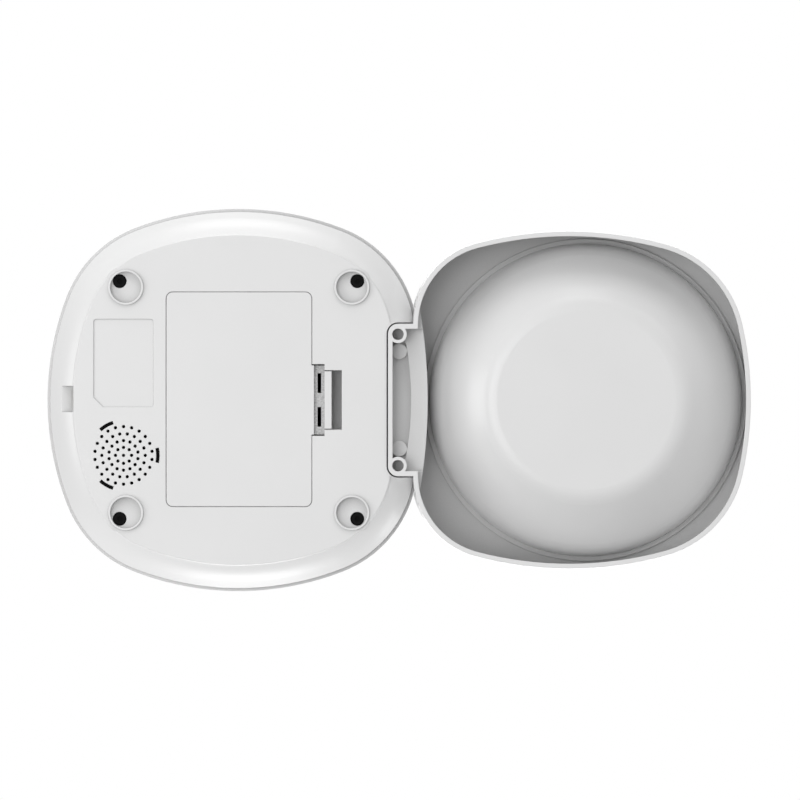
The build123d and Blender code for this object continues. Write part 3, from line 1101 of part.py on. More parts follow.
def make_hopper_lid():
    """Hollow lid with a rounded edge, a plug ring inside the hopper, a hinge knuckle and a finger grip."""
    edge, r, top, wall = upper_inset, LID_EDGE_RADIUS, lid_top, LID_WALL
    k, inner = sqrt(0.5), LID_EDGE_RADIUS - LID_WALL
    profile = make_face([
        Line((-edge, lid_z), (-edge, top - r)),
        ThreePointArc((-edge, top - r), (-edge - r + r * k, top - r + r * k), (-edge - r, top)),
        Line((-edge - r, top), (-edge - r, top - wall)),
        ThreePointArc((-edge - r, top - wall), (-edge - r + inner * k, top - r + inner * k),
                      (-edge - wall, top - r)),
        Line((-edge - wall, top - r), (-edge - wall, lid_z)), Line((-edge - wall, lid_z), (-edge, lid_z))])
    lid = band(tower, profile) + slab(tower, edge + r, top - wall, top)
    grip_x = TOWER_FRONT_X - edge
    lid += block((grip_x - GRIP_DEPTH - 6, grip_x - 1.5), (-GRIP_HALF_WIDTH - 3, GRIP_HALF_WIDTH + 3),
                 (lid_z, lid_z + GRIP_HEIGHT + 2))
    plug = bin_inner + SEAL_GAP + SEAL_THICKNESS
    ring = tube(tower, plug, plug + LID_PLUG_WALL, lid_z - LID_PLUG_HEIGHT, top - wall + 0.5)
    lid += ring & block((tower_rear_x, plug_front_x), (-TOWER_WIDTH, TOWER_WIDTH), (lid_z - 10, top))
    inside = slab(tower, plug, lid_z - LID_PLUG_HEIGHT, top - wall + 0.5)
    lid += inside & block((plug_front_x - LID_PLUG_WALL, plug_front_x), (-TOWER_WIDTH, TOWER_WIDTH),
                          (lid_z - LID_PLUG_HEIGHT, top))
    lid += peg(DESICCANT_X, 0, DESICCANT_RADIUS * 0.25, top - wall - 4, top - wall + 0.5)
    half = LID_KNUCKLE_HALF
    lid += cross_peg(lid_hinge_x, lid_hinge_z, LID_KNUCKLE_RADIUS, -half, half)
    lid += block((lid_hinge_x, upper_rear_x + 2), (-half, half), (lid_hinge_z + 0.2, lid_hinge_z + 5))
    for side in (-1, 1):
        lid -= cross_peg(lid_hinge_x, lid_hinge_z, LID_KNUCKLE_RADIUS + 0.5, side * (half + 0.0001),
                         side * (half + LID_EAR + 0.5))
    grip = block((grip_x - GRIP_DEPTH - 3, grip_x + 5), (-GRIP_HALF_WIDTH, GRIP_HALF_WIDTH),
                 (lid_z - 1, lid_z + GRIP_HEIGHT))
    lid -= fillet(grip.edges().filter_by(Axis.Z), 4.0)
    return lid - cross_peg(lid_hinge_x, lid_hinge_z, LID_PIN_RADIUS + SHAFT_FIT, -half - 1, half + 1)


def make_lid_seal():
    """Soft ring round the lid's plug."""
    inset = bin_inner + SEAL_GAP
    z0, z1 = lid_z - LID_PLUG_HEIGHT + 1, lid_z - LID_PLUG_HEIGHT + 1 + SEAL_HEIGHT
    front = BIN_FRONT_X - THIN_WALL - SEAL_GAP
    outer = slab(tower, inset, z0, z1) & block((tower_rear_x, front), (-TOWER_WIDTH, TOWER_WIDTH), (z0, z1))
    plug = slab(tower, bin_inner + SEAL_GAP + SEAL_THICKNESS, z0, z1) & \
        block((tower_rear_x, plug_front_x), (-TOWER_WIDTH, TOWER_WIDTH), (z0, z1))
    return outer - plug


def make_desiccant_cup():
    cup = peg(DESICCANT_X, 0, DESICCANT_RADIUS, desiccant_z, desiccant_z + DESICCANT_HEIGHT)
    return cup - peg(DESICCANT_X, 0, DESICCANT_RADIUS - CUP_WALL, desiccant_z - 1,
                     desiccant_z + DESICCANT_HEIGHT - CUP_WALL)


def make_desiccant_cap():
    """Slotted cap under the desiccant cup."""
    cap = peg(DESICCANT_X, 0, DESICCANT_RADIUS, desiccant_z - CUP_WALL, desiccant_z)
    cap += peg(DESICCANT_X, 0, DESICCANT_RADIUS - CUP_WALL - 0.2, desiccant_z - 0.5, desiccant_z + 2)
    cap -= peg(DESICCANT_X, 0, DESICCANT_RADIUS - 2 * CUP_WALL - 0.2, desiccant_z, desiccant_z + 3)
    for k in range(-4, 5):
        y = k * 5.5
        half = sqrt((DESICCANT_RADIUS - 6) ** 2 - y ** 2)
        cap -= block((DESICCANT_X - half, DESICCANT_X + half), (y - 1, y + 1),
                     (desiccant_z - 3, desiccant_z + 3))
    return cap


# ---- controls -------------------------------------------------------------------------------------
def make_display_window():
    """Lens that follows the shell's front curve and stands slightly proud of it."""
    half = DISPLAY_HALF_WIDTH - 0.15
    z0, z1 = DISPLAY_Z[0] + 0.15, DISPLAY_Z[1] - 0.15
    seat = upper_inner + LENS_SEAT_GAP
    lens = tube(tower, upper_inset - DISPLAY_PROUD, seat + 0.1, z0, z1)
    front = (TOWER_FRONT_X - 20, TOWER_FRONT_X)
    flange = tube(tower, seat, seat + LENS_FLANGE, z0 - 2, z1 + 2)
    flange &= block(front, (-half - 2, half + 2), (z0 - 2, z1 + 2))
    return flange + (lens & block(front, (-half, half), (z0, z1)))


def make_display_board():
    """Control board with the display module and a switch behind each button."""
    face = CONTROL_BOARD_X + BOARD_THICKNESS
    board = block((CONTROL_BOARD_X, face), (-CONTROL_BOARD_HALF, CONTROL_BOARD_HALF), CONTROL_BOARD_Z)
    half = DISPLAY_HALF_WIDTH - 4
    board += block((face - 0.2, face + 4.5), (-half, half), (DISPLAY_Z[0] + 4, DISPLAY_Z[1] - 4))
    for y in button_places():
        board += block((face - 0.2, face + 2.2), (y - 3, y + 3), (BUTTON_Z - 3, BUTTON_Z + 3))
    return board


def shell_front(y, inset):
    """X of the tower's front surface at y, drawn in by inset."""
    r = TOWER_FRONT_RADIUS - inset
    return TOWER_FRONT_X - TOWER_FRONT_RADIUS + sqrt(r ** 2 - y ** 2)


def make_button(y):
    """Round cap with a retaining flange and a stem that ends just short of its switch."""
    face = shell_front(y, upper_inset) + BUTTON_PROUD
    inner = shell_front(abs(y) + BUTTON_FLANGE, upper_inner) - 0.2
    switch = CONTROL_BOARD_X + BOARD_THICKNESS + 2.2
    cap = front_peg(y, BUTTON_Z, BUTTON_RADIUS, inner - 0.5, face)
    cap = fillet(cap.edges().group_by(Axis.X)[-1], 0.8)
    cap += front_peg(y, BUTTON_Z, BUTTON_FLANGE, inner - 1.2, inner)
    return cap + front_peg(y, BUTTON_Z, 1.6, switch + BUTTON_TRAVEL + 0.05, inner - 1)


def make_main_board():
    """Main board with its chips, capacitor and connectors."""
    bx, by = MAIN_BOARD_SIZE
    z = tray_top + MAIN_BOARD_LIFT
    top = z + BOARD_THICKNESS
    board = block((bay_centre_x - bx / 2, bay_centre_x + bx / 2), (-by / 2, by / 2), (z, top))
    x = bay_centre_x
    chips = [((x - 8, x + 4), (-8, 4), 1.2), ((x + 12, x + 20), (14, 26), 1.8)]
    chips += [((x - 24, x - 18), (-30, -12), 6), ((x - 24, x - 18), (-6, 12), 6)]
    chips += [((x - 6, x + 12), (34, 40), 6)]
    parts = [block(px, py, (top - 0.2, top + height)) for px, py, height in chips]
    parts += [peg(x - 14, 28, 5, top - 0.2, top + 12), peg(x + 16, -20, 4, top - 0.2, top + 10)]
    return board + parts


# ---- all nodes ------------------------------------------------------------------------------------
def build_nodes():
    pinion_turn = feed_mesh + pi + pi / FEED_PINION_TEETH
    idler_turn = idler_mesh + pi + pi / IDLER_TEETH
    idler_pitch = 2 * pi / IDLER_TEETH
    tooth_off = round((pi - idler_turn) / idler_pitch) * idler_pitch + idler_turn - pi
    cover_pinion_turn = pi / COVER_PINION_TEETH - tooth_off * IDLER_TEETH / COVER_PINION_TEETH
    feed_y = (FEED_GEAR_Y - FEED_GEAR_WIDTH, FEED_GEAR_Y)
    nodes = {
        "base_cover": make_base_cover(),
        "base_screws": make_base_screws(),
        "battery_door": make_battery_door(),
        "battery_latch": make_battery_latch(),
        "battery_tray": make_battery_tray(),
        "battery_contacts": make_battery_contacts(),
        "speaker": make_speaker(),
        "usb_socket": make_usb_socket(),
        "usb_board": make_usb_board(),
        "main_housing": make_main_housing(),
        "chassis_plate": make_chassis_plate(),
        "hopper_housing": make_hopper_housing(),
        "bowl_stand": make_bowl_stand(),
        "food_bowl": make_food_bowl(),
        "spout_hood": make_spout_hood(),
        "food_chute": make_food_chute(),
        "antenna_coil": make_antenna_coil(),
        "bowl_cover": make_bowl_cover(),
        "cover_drive_shaft": cross_peg(HINGE_X, HINGE_Z, HINGE_SHAFT_RADIUS, -ear_outer, cover_gear_y[1]),
        "cover_pivot_pin": cross_peg(HINGE_X, HINGE_Z, HINGE_SHAFT_RADIUS,
                                     HOOD_HALF_WIDTH - HOOD_WALL - 1, ear_outer),
        "cover_gear": gear(HINGE_X, HINGE_Z, COVER_MODULE, COVER_TEETH, idler_mesh,
                           HINGE_SHAFT_RADIUS + HUB_FIT, *cover_gear_y),
        "cover_idler": gear(idler_x, idler_z, COVER_MODULE, IDLER_TEETH, idler_turn,
                            IDLER_AXLE_RADIUS + SHAFT_FIT, *cover_gear_y),
        "cover_pinion": gear(cover_pinion_x, idler_z, COVER_MODULE, COVER_PINION_TEETH, cover_pinion_turn,
                             MOTOR_SHAFT_RADIUS + SHAFT_FIT, *cover_gear_y),
        "idler_axle": cross_peg(idler_x, idler_z, IDLER_AXLE_RADIUS,
                                bracket_y - BRACKET_THICKNESS, cover_gear_y[1] + 0.6),
        "cover_bracket": make_bracket(),
        "cover_motor": motor(cover_pinion_x, idler_z, COVER_MOTOR_RADIUS, bracket_y - BRACKET_THICKNESS,
                             COVER_MOTOR_LENGTH, MOTOR_SHAFT_RADIUS, cover_gear_y[1]),
        "rotor_housing": make_rotor_housing(),
        "portion_rotor": make_portion_rotor(),
        "rotor_shaft": cross_peg(ROTOR_X, ROTOR_Z, ROTOR_SHAFT_RADIUS, feed_plate_y - BRACKET_THICKNESS,
                                 ROTOR_HALF_WIDTH + ROTOR_SIDE_GAP + THIN_WALL + 1.5),
        "rotor_gear": gear(ROTOR_X, ROTOR_Z, FEED_MODULE, ROTOR_TEETH, feed_mesh,
                           ROTOR_SHAFT_RADIUS + HUB_FIT, *feed_y),
        "feed_pinion": gear(feed_pinion_x, feed_pinion_z, FEED_MODULE, FEED_PINION_TEETH, pinion_turn,
                            FEED_SHAFT_RADIUS + SHAFT_FIT, *feed_y),
        "feed_gear_plate": make_feed_gear_plate(),
        "feed_motor": motor(feed_pinion_x, feed_pinion_z, FEED_MOTOR_RADIUS, feed_motor_y, feed_motor_length,
                            FEED_SHAFT_RADIUS, FEED_GEAR_Y),
        "hopper_bin": make_hopper_bin(),
        "hopper_lid": make_hopper_lid(),
        "lid_hinge_pin": cross_peg(lid_hinge_x, lid_hinge_z, LID_PIN_RADIUS, -LID_KNUCKLE_HALF - LID_EAR,
                                   LID_KNUCKLE_HALF + LID_EAR),
        "lid_seal": make_lid_seal(),
        "desiccant_cup": make_desiccant_cup(),
        "desiccant_cap": make_desiccant_cap(),
        "display_window": make_display_window(),
        "display_board": make_display_board(),
        "main_board": make_main_board(),
    }
    nodes.update({f"battery_cell_{k + 1}": make_battery_cell(k) for k in range(CELL_COUNT)})
    nodes.update({name: make_button(y) for name, y in
                  zip(("button_left", "button_centre", "button_right"), button_places())})
    return nodes


if __name__ == "__main__":
    os.makedirs("parts", exist_ok=True)
    for name, shape in build_nodes().items():
        export_step(shape, f"parts/{name}.step")
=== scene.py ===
"""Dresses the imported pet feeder: moulded plastics, steel and rubber, soft light, and a camera
straight below."""
import json

import bpy
import numpy as np
from mathutils import Matrix, Vector


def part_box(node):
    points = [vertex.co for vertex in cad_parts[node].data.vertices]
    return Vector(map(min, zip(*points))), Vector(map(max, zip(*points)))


MM = 0.001
VIEW_CENTRE_X = 0.1 * MM
VIEW_WIDTH = 0.4                            # what the view spans at the feeder
CAMERA_DISTANCE = 6.0

SHADE_REACH = 30 * MM                        # how far from a point a wall still casts painted shade on it
STEEP_BELOW, LEVEL_ABOVE = 0.97, 0.995      # by the upright part of a face's normal

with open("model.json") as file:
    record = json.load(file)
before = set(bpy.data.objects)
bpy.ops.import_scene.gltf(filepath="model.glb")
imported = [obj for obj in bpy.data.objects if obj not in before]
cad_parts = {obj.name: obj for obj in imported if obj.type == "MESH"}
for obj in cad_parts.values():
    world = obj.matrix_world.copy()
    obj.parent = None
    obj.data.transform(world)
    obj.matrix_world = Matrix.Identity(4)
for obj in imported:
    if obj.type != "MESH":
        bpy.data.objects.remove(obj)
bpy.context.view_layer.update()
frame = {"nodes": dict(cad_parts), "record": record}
nodes = frame["nodes"]


# ---- node and colour helpers ----------------------------------------------------------------------
def hex_colour(text):
    """sRGB hex to linear RGBA: each channel is c / 12.92 below 0.04045, else ((c + 0.055) / 1.055) ** 2.4."""
    channels = np.array([int(text[k:k + 2], 16) for k in (1, 3, 5)]) / 255
    linear = np.where(channels <= 0.04045, channels / 12.92, ((channels + 0.055) / 1.055) ** 2.4)
    return (*linear.tolist(), 1.0)


def per_mm(size):
    """Texture scale that sets a pattern's features about size millimetres apart."""
    return 1 / (size * MM)


def add(tree, kind, inputs=None, stops=None, **settings):
    """Adds a node. settings are its properties, and stops are a ramp's positions and hex colours,
    its two ends first. inputs maps a socket to a value, to a socket, or to a node, whose first
    output is then taken."""
    node = tree.nodes.new(kind)
    for key, value in settings.items():
        setattr(node, key, value)
    for socket, value in (inputs or {}).items():
        if isinstance(value, bpy.types.Node):
            value = value.outputs[0]
        if isinstance(value, bpy.types.NodeSocket):
            tree.links.new(value, node.inputs[socket])
        else:
            node.inputs[socket].default_value = value
    for k, (position, colour) in enumerate(stops or ()):
        elements = node.color_ramp.elements
        element = elements[k] if k < 2 else elements.new(position)
        element.position = position
        element.color = hex_colour(colour)
    return node


def new_material(name):
    """Empty node material, its tree, and the Object coordinates that its patterns read."""
    material = bpy.data.materials.new(name)
    material.use_nodes = True
    tree = material.node_tree
    tree.nodes.clear()
    return material, tree, add(tree, "ShaderNodeTexCoord").outputs["Object"]


def shaded_in_hollows(tree, base_tone):
    """Base tone with painted shade: level faces in the hollows are darkened where walls shelter them,
    and steep walls and open faces are left as they are."""
    openness = add(tree, "ShaderNodeAmbientOcclusion", {"Distance": SHADE_REACH}, samples=8).outputs["AO"]
    hollow_shade = add(tree, "ShaderNodeValToRGB", {"Fac": openness},
               stops=[(0.05, "#E0E0E0"), (0.95, "#FFFFFF"), (0.35, "#CECECE")])
    normal = add(tree, "ShaderNodeNewGeometry").outputs["Normal"]
    upright = add(tree, "ShaderNodeSeparateXYZ", {"Vector": normal}).outputs["Z"]
    flatness = add(tree, "ShaderNodeMath", {0: upright}, operation="ABSOLUTE")
    level = add(tree, "ShaderNodeMapRange", {"Value": flatness, "From Min": STEEP_BELOW,
                                             "From Max": LEVEL_ABOVE})
    return add(tree, "ShaderNodeMix", {"Factor": level, "A": base_tone, "B": hollow_shade}, data_type="RGBA",
               blend_type="MULTIPLY").outputs["Result"]


# ---- materials ------------------------------------------------------------------------------------
def white_moulded_abs():
    """ABS from a spark-eroded mould: a fine even grain that softens its gloss, and rounded edges."""
    material, tree, place = new_material("white_moulded_abs")
    cloud = add(tree, "ShaderNodeTexNoise", {"Vector": place, "Scale": per_mm(45), "Detail": 2})
    # The grain is about 0.05 mm wide on a real mould; drawn at 0.5 mm so that it shows.
    grain = add(tree, "ShaderNodeTexNoise", {"Vector": place, "Scale": per_mm(0.5), "Detail": 1})
    base_tone = add(tree, "ShaderNodeValToRGB", {"Fac": cloud}, stops=[(0.3, "#E0E0E0"), (0.7, "#E2E2E2")])
    # Painted shade darkens the level faces in the hollows.
    colour = shaded_in_hollows(tree, base_tone)
    gloss = add(tree, "ShaderNodeMapRange", {"Value": grain, "From Min": 0.3, "From Max": 0.7,
                                             "To Min": 0.28, "To Max": 0.36})
    edges = add(tree, "ShaderNodeBevel", {"Radius": 0.5 * MM}, samples=6)
    pits = add(tree, "ShaderNodeBump", {"Height": grain, "Distance": 0.01 * MM, "Normal": edges})
    skin = add(tree, "ShaderNodeBsdfPrincipled", {"Base Color": colour, "Roughness": gloss, "IOR": 1.5,
                                                  "Normal": pits})
    add(tree, "ShaderNodeOutputMaterial", {"Surface": skin})
    return material


def polished_white_abs():
    """The outer shells' ABS from a polished mould: smooth, with long faint waves that bend its
    reflections."""
    material, tree, place = new_material("polished_white_abs")
    cloud = add(tree, "ShaderNodeTexNoise", {"Vector": place, "Scale": per_mm(60), "Detail": 2})
    base_tone = add(tree, "ShaderNodeValToRGB", {"Fac": cloud}, stops=[(0.3, "#E0E0E0"), (0.7, "#E2E2E2")])
    # Painted shade darkens the level faces in the hollows, such as the band under the housing's edge.
    colour = shaded_in_hollows(tree, base_tone)
    handling = add(tree, "ShaderNodeTexNoise", {"Vector": place, "Scale": per_mm(8), "Detail": 3})
    gloss = add(tree, "ShaderNodeMapRange", {"Value": handling, "From Min": 0.3, "From Max": 0.7,
                                             "To Min": 0.22, "To Max": 0.28})
    # Sink marks and flow leave waves some 25 mm long and a few hundredths deep.
    waves = add(tree, "ShaderNodeTexNoise", {"Vector": place, "Scale": per_mm(25), "Detail": 1})
    edges = add(tree, "ShaderNodeBevel", {"Radius": 0.2 * MM}, samples=6)
    surface = add(tree, "ShaderNodeBump", {"Height": waves, "Distance": 0.06 * MM, "Normal": edges})
    skin = add(tree, "ShaderNodeBsdfPrincipled", {"Base Color": colour, "Roughness": gloss, "IOR": 1.53,
                                                  "Normal": surface})
    add(tree, "ShaderNodeOutputMaterial", {"Surface": skin})
    return material


def etched_white_acetal():
    """The latch's white acetal: coarsely etched for grip, with painted shade that darkens it where it
    is sunk, and the etching's tone shown only there, so that the open tab stays pale."""
    material, tree, place = new_material("etched_white_acetal")
    openness = add(tree, "ShaderNodeAmbientOcclusion", {"Distance": 10 * MM}, samples=8).outputs["AO"]
    # Painted shade: the tone darkens where walls within 10 mm close in around a point.
    hollow_shade = add(tree, "ShaderNodeValToRGB", {"Fac": openness}, stops=[(0.3, "#CECECE"), (0.9, "#E2E2E2")])
    # Etching pits are some 0.2 mm wide; drawn at 0.9 mm so that they show.
    pits = add(tree, "ShaderNodeTexNoise", {"Vector": place, "Scale": per_mm(0.9), "Detail": 3})
    shade = add(tree, "ShaderNodeValToRGB", {"Fac": pits}, stops=[(0.35, "#D6D6D6"), (0.6, "#FFFFFF")])
    sunk = add(tree, "ShaderNodeMapRange", {"Value": openness, "From Min": 0.9, "From Max": 0.5})
    # Where it is sunk, the etching's pits also tint the colour, which deepens the painted shade there.
    colour = add(tree, "ShaderNodeMix", {"Factor": sunk, "A": hollow_shade, "B": shade}, data_type="RGBA",
                 blend_type="MULTIPLY").outputs["Result"]
    edges = add(tree, "ShaderNodeBevel", {"Radius": 0.3 * MM}, samples=6)
    grip = add(tree, "ShaderNodeBump", {"Height": pits, "Distance": 0.06 * MM, "Normal": edges})
    skin = add(tree, "ShaderNodeBsdfPrincipled", {"Base Color": colour, "Roughness": 0.42, "IOR": 1.48,
                                                  "Normal": grip})
    add(tree, "ShaderNodeOutputMaterial", {"Surface": skin})
    return material


def grey_filled_nylon():
    """Glass-filled nylon of the inner frame: matt, with a faint streak of fibres."""
    material, tree, place = new_material("grey_filled_nylon")
    drawn_out = add(tree, "ShaderNodeMapping", {"Vector": place, "Scale": (1, 6, 6)})
    fibres = add(tree, "ShaderNodeTexNoise", {"Vector": drawn_out, "Scale": per_mm(3), "Detail": 4})
    colour = add(tree, "ShaderNodeValToRGB", {"Fac": fibres}, stops=[(0.3, "#8E9194"), (0.7, "#A0A3A5")])
    gloss = add(tree, "ShaderNodeMapRange", {"Value": fibres, "From Min": 0.3, "From Max": 0.7,
                                             "To Min": 0.52, "To Max": 0.68})
    edges = add(tree, "ShaderNodeBevel", {"Radius": 0.3 * MM}, samples=6)
    surface = add(tree, "ShaderNodeBump", {"Height": fibres, "Distance": 0.03 * MM, "Normal": edges})
    skin = add(tree, "ShaderNodeBsdfPrincipled", {"Base Color": colour, "Roughness": gloss, "IOR": 1.53,
                                                  "Normal": surface})
    add(tree, "ShaderNodeOutputMaterial", {"Surface": skin})
    return material


def black_oxide_steel():
    """Blackened steel screws, pins and shafts: near black, with a dull and very weak sheen."""
    material, tree, place = new_material("black_oxide_steel")
    patches = add(tree, "ShaderNodeTexNoise", {"Vector": place, "Scale": per_mm(1.2), "Detail": 3})
    colour = add(tree, "ShaderNodeValToRGB", {"Fac": patches}, stops=[(0.3, "#030303"), (0.7, "#0C0C0D")])
    gloss = add(tree, "ShaderNodeMapRange", {"Value": patches, "From Min": 0.3, "From Max": 0.7,
                                             "To Min": 0.45, "To Max": 0.62})
    edges = add(tree, "ShaderNodeBevel", {"Radius": 0.15 * MM}, samples=6)
    surface = add(tree, "ShaderNodeBump", {"Height": patches, "Distance": 0.02 * MM, "Normal": edges})
    # The glint is held well below a bare surface's, so that the heads read as black.
    skin = add(tree, "ShaderNodeBsdfPrincipled", {"Base Color": colour, "Metallic": 0.2, "Roughness": gloss,
                                                  "Specular IOR Level": 0.1, "Normal": surface})
    add(tree, "ShaderNodeOutputMaterial", {"Surface": skin})
    return material


def spun_stainless_steel():
    """Stainless bowl, pressed and then brushed as it spun: fine rings about its own axis."""
    material, tree, place = new_material("spun_stainless_steel")
    low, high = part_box("food_bowl")
    centred = add(tree, "ShaderNodeMapping", {"Vector": place, "Location": (-(low.x + high.x) / 2, 0, 0)})
    across = add(tree, "ShaderNodeVectorMath", {0: centred, 1: (1, 1, 0)}, operation="MULTIPLY")
    radius = add(tree, "ShaderNodeVectorMath", {0: across}, operation="LENGTH").outputs["Value"]
    height = add(tree, "ShaderNodeSeparateXYZ", {"Vector": centred}).outputs["Z"]
    rings = add(tree, "ShaderNodeCombineXYZ", {"X": radius, "Y": height})
    # Brushing leaves lines some 0.1 mm apart; drawn at 0.4 mm so that they show.
    lines = add(tree, "ShaderNodeTexNoise", {"Vector": rings, "Scale": per_mm(0.4), "Detail": 3})
    colour = add(tree, "ShaderNodeValToRGB", {"Fac": lines}, stops=[(0.3, "#BDBCB9"), (0.7, "#D2D1CE")])
    gloss = add(tree, "ShaderNodeMapRange", {"Value": lines, "From Min": 0.3, "From Max": 0.7,
                                             "To Min": 0.24, "To Max": 0.4})
    edges = add(tree, "ShaderNodeBevel", {"Radius": 0.3 * MM}, samples=6)
    surface = add(tree, "ShaderNodeBump", {"Height": lines, "Distance": 0.01 * MM, "Normal": edges})
    skin = add(tree, "ShaderNodeBsdfPrincipled", {"Base Color": colour, "Metallic": 1.0, "Roughness": gloss,
                                                  "Normal": surface})
    add(tree, "ShaderNodeOutputMaterial", {"Surface": skin})
    return material


def clear_polycarbonate():
    """The bowl cover's clear polycarbonate: glossy, faintly smoky, with hairline scratches."""
    material, tree, place = new_material("clear_polycarbonate")
    drawn_out = add(tree, "ShaderNodeMapping", {"Vector": place, "Rotation": (0, 0, 0.5),
                                                "Scale": (1, 14, 1)})
    scratches = add(tree, "ShaderNodeTexNoise", {"Vector": drawn_out, "Scale": per_mm(9), "Detail": 5})
    gloss = add(tree, "ShaderNodeMapRange", {"Value": scratches, "From Min": 0.3, "From Max": 0.7,
                                             "To Min": 0.03, "To Max": 0.09})
    waves = add(tree, "ShaderNodeTexNoise", {"Vector": place, "Scale": per_mm(30), "Detail": 1})
    surface = add(tree, "ShaderNodeBump", {"Height": waves, "Distance": 0.03 * MM})
    skin = add(tree, "ShaderNodeBsdfPrincipled", {
        "Base Color": hex_colour("#E3E8EA"), "Roughness": gloss, "IOR": 1.58, "Transmission Weight": 1.0,
        "Normal": surface})
    add(tree, "ShaderNodeOutputMaterial", {"Surface": skin})
    return material


def natural_acetal():
    """Turned and moulded acetal gears: milky white, slightly waxy."""
    material, tree, place = new_material("natural_acetal")
    cloud = add(tree, "ShaderNodeTexNoise", {"Vector": place, "Scale": per_mm(4), "Detail": 2})
    grain = add(tree, "ShaderNodeTexNoise", {"Vector": place, "Scale": per_mm(0.4), "Detail": 1})
    colour = add(tree, "ShaderNodeValToRGB", {"Fac": cloud}, stops=[(0.3, "#E6E2D4"), (0.7, "#EFEBDF")])
    edges = add(tree, "ShaderNodeBevel", {"Radius": 0.15 * MM}, samples=6)
    surface = add(tree, "ShaderNodeBump", {"Height": grain, "Distance": 0.01 * MM, "Normal": edges})
    skin = add(tree, "ShaderNodeBsdfPrincipled", {"Base Color": colour, "Roughness": 0.4, "IOR": 1.48,
                                                  "Subsurface Weight": 0.1, "Normal": surface})
    add(tree, "ShaderNodeOutputMaterial", {"Surface": skin})
    return material


def zinc_plated_steel():
    """Motor cans of drawn steel with bright zinc plating: brushed round, with pale spangles."""
    material, tree, place = new_material("zinc_plated_steel")
    drawn_out = add(tree, "ShaderNodeMapping", {"Vector": place, "Scale": (9, 1, 9)})
    lines = add(tree, "ShaderNodeTexNoise", {"Vector": drawn_out, "Scale": per_mm(5), "Detail": 4})
    colour = add(tree, "ShaderNodeValToRGB", {"Fac": lines}, stops=[(0.3, "#9C9DA0"), (0.7, "#BFC0C3")])
    gloss = add(tree, "ShaderNodeMapRange", {"Value": lines, "From Min": 0.3, "From Max": 0.7,
                                             "To Min": 0.28, "To Max": 0.45})
    edges = add(tree, "ShaderNodeBevel", {"Radius": 0.2 * MM}, samples=6)
    surface = add(tree, "ShaderNodeBump", {"Height": lines, "Distance": 0.01 * MM, "Normal": edges})
    skin = add(tree, "ShaderNodeBsdfPrincipled", {"Base Color": colour, "Metallic": 1.0, "Roughness": gloss,
                                                  "Normal": surface})
    add(tree, "ShaderNodeOutputMaterial", {"Surface": skin})
    return material


def nickel_plated_spring_steel():
    """Battery leaves and the socket's shell: nickel plate with a warm tone."""
    material, tree, place = new_material("nickel_plated_spring_steel")
    stains = add(tree, "ShaderNodeTexNoise", {"Vector": place, "Scale": per_mm(2.5), "Detail": 3})
    colour = add(tree, "ShaderNodeValToRGB", {"Fac": stains}, stops=[(0.3, "#B5B0A6"), (0.7, "#CFCBC2")])
    gloss = add(tree, "ShaderNodeMapRange", {"Value": stains, "From Min": 0.3, "From Max": 0.7,
                                             "To Min": 0.22, "To Max": 0.34})
    edges = add(tree, "ShaderNodeBevel", {"Radius": 0.1 * MM}, samples=6)
    surface = add(tree, "ShaderNodeBump", {"Height": stains, "Distance": 0.01 * MM, "Normal": edges})
    skin = add(tree, "ShaderNodeBsdfPrincipled", {"Base Color": colour, "Metallic": 1.0, "Roughness": gloss,
                                                  "Normal": surface})
    add(tree, "ShaderNodeOutputMaterial", {"Surface": skin})
    return material


def printed_cell_jacket():
    """Shrunk plastic jacket of a battery: black, with a copper band round each end."""
    material, tree, place = new_material("printed_cell_jacket")
    low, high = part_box("battery_cell_1")
    along = add(tree, "ShaderNodeSeparateXYZ", {"Vector": place}).outputs["X"]
    from_middle = add(tree, "ShaderNodeMath", {0: along, 1: (low.x + high.x) / 2}, operation="SUBTRACT")
    outward = add(tree, "ShaderNodeMath", {0: from_middle}, operation="ABSOLUTE")
    # The cells lie side by side, so one distance from the middle starts the bands of them all.
    band = add(tree, "ShaderNodeMapRange", {"Value": outward, "From Min": 16 * MM, "From Max": 16.4 * MM})
    colour = add(tree, "ShaderNodeValToRGB", {"Fac": band}, stops=[(0.4, "#17181A"), (0.6, "#9A5B34")])
    creases = add(tree, "ShaderNodeTexNoise", {"Vector": place, "Scale": per_mm(6), "Detail": 2})
    surface = add(tree, "ShaderNodeBump", {"Height": creases, "Distance": 0.05 * MM})
    skin = add(tree, "ShaderNodeBsdfPrincipled", {"Base Color": colour, "Roughness": 0.22, "IOR": 1.5,
                                                  "Normal": surface})
    add(tree, "ShaderNodeOutputMaterial", {"Surface": skin})
    return material


def pressed_black_steel():
    """Speaker basket and magnet: pressed steel under matt black paint, with hardly any glint."""
    material, tree, place = new_material("pressed_black_steel")
    specks = add(tree, "ShaderNodeTexNoise", {"Vector": place, "Scale": per_mm(0.6), "Detail": 3})
    colour = add(tree, "ShaderNodeValToRGB", {"Fac": specks}, stops=[(0.3, "#030303"), (0.7, "#0A0A0B")])
    edges = add(tree, "ShaderNodeBevel", {"Radius": 0.2 * MM}, samples=6)
    surface = add(tree, "ShaderNodeBump", {"Height": specks, "Distance": 0.02 * MM, "Normal": edges})
    skin = add(tree, "ShaderNodeBsdfPrincipled", {"Base Color": colour, "Roughness": 0.7,
                                                  "Specular IOR Level": 0.1, "Normal": surface})
    add(tree, "ShaderNodeOutputMaterial", {"Surface": skin})
    return material


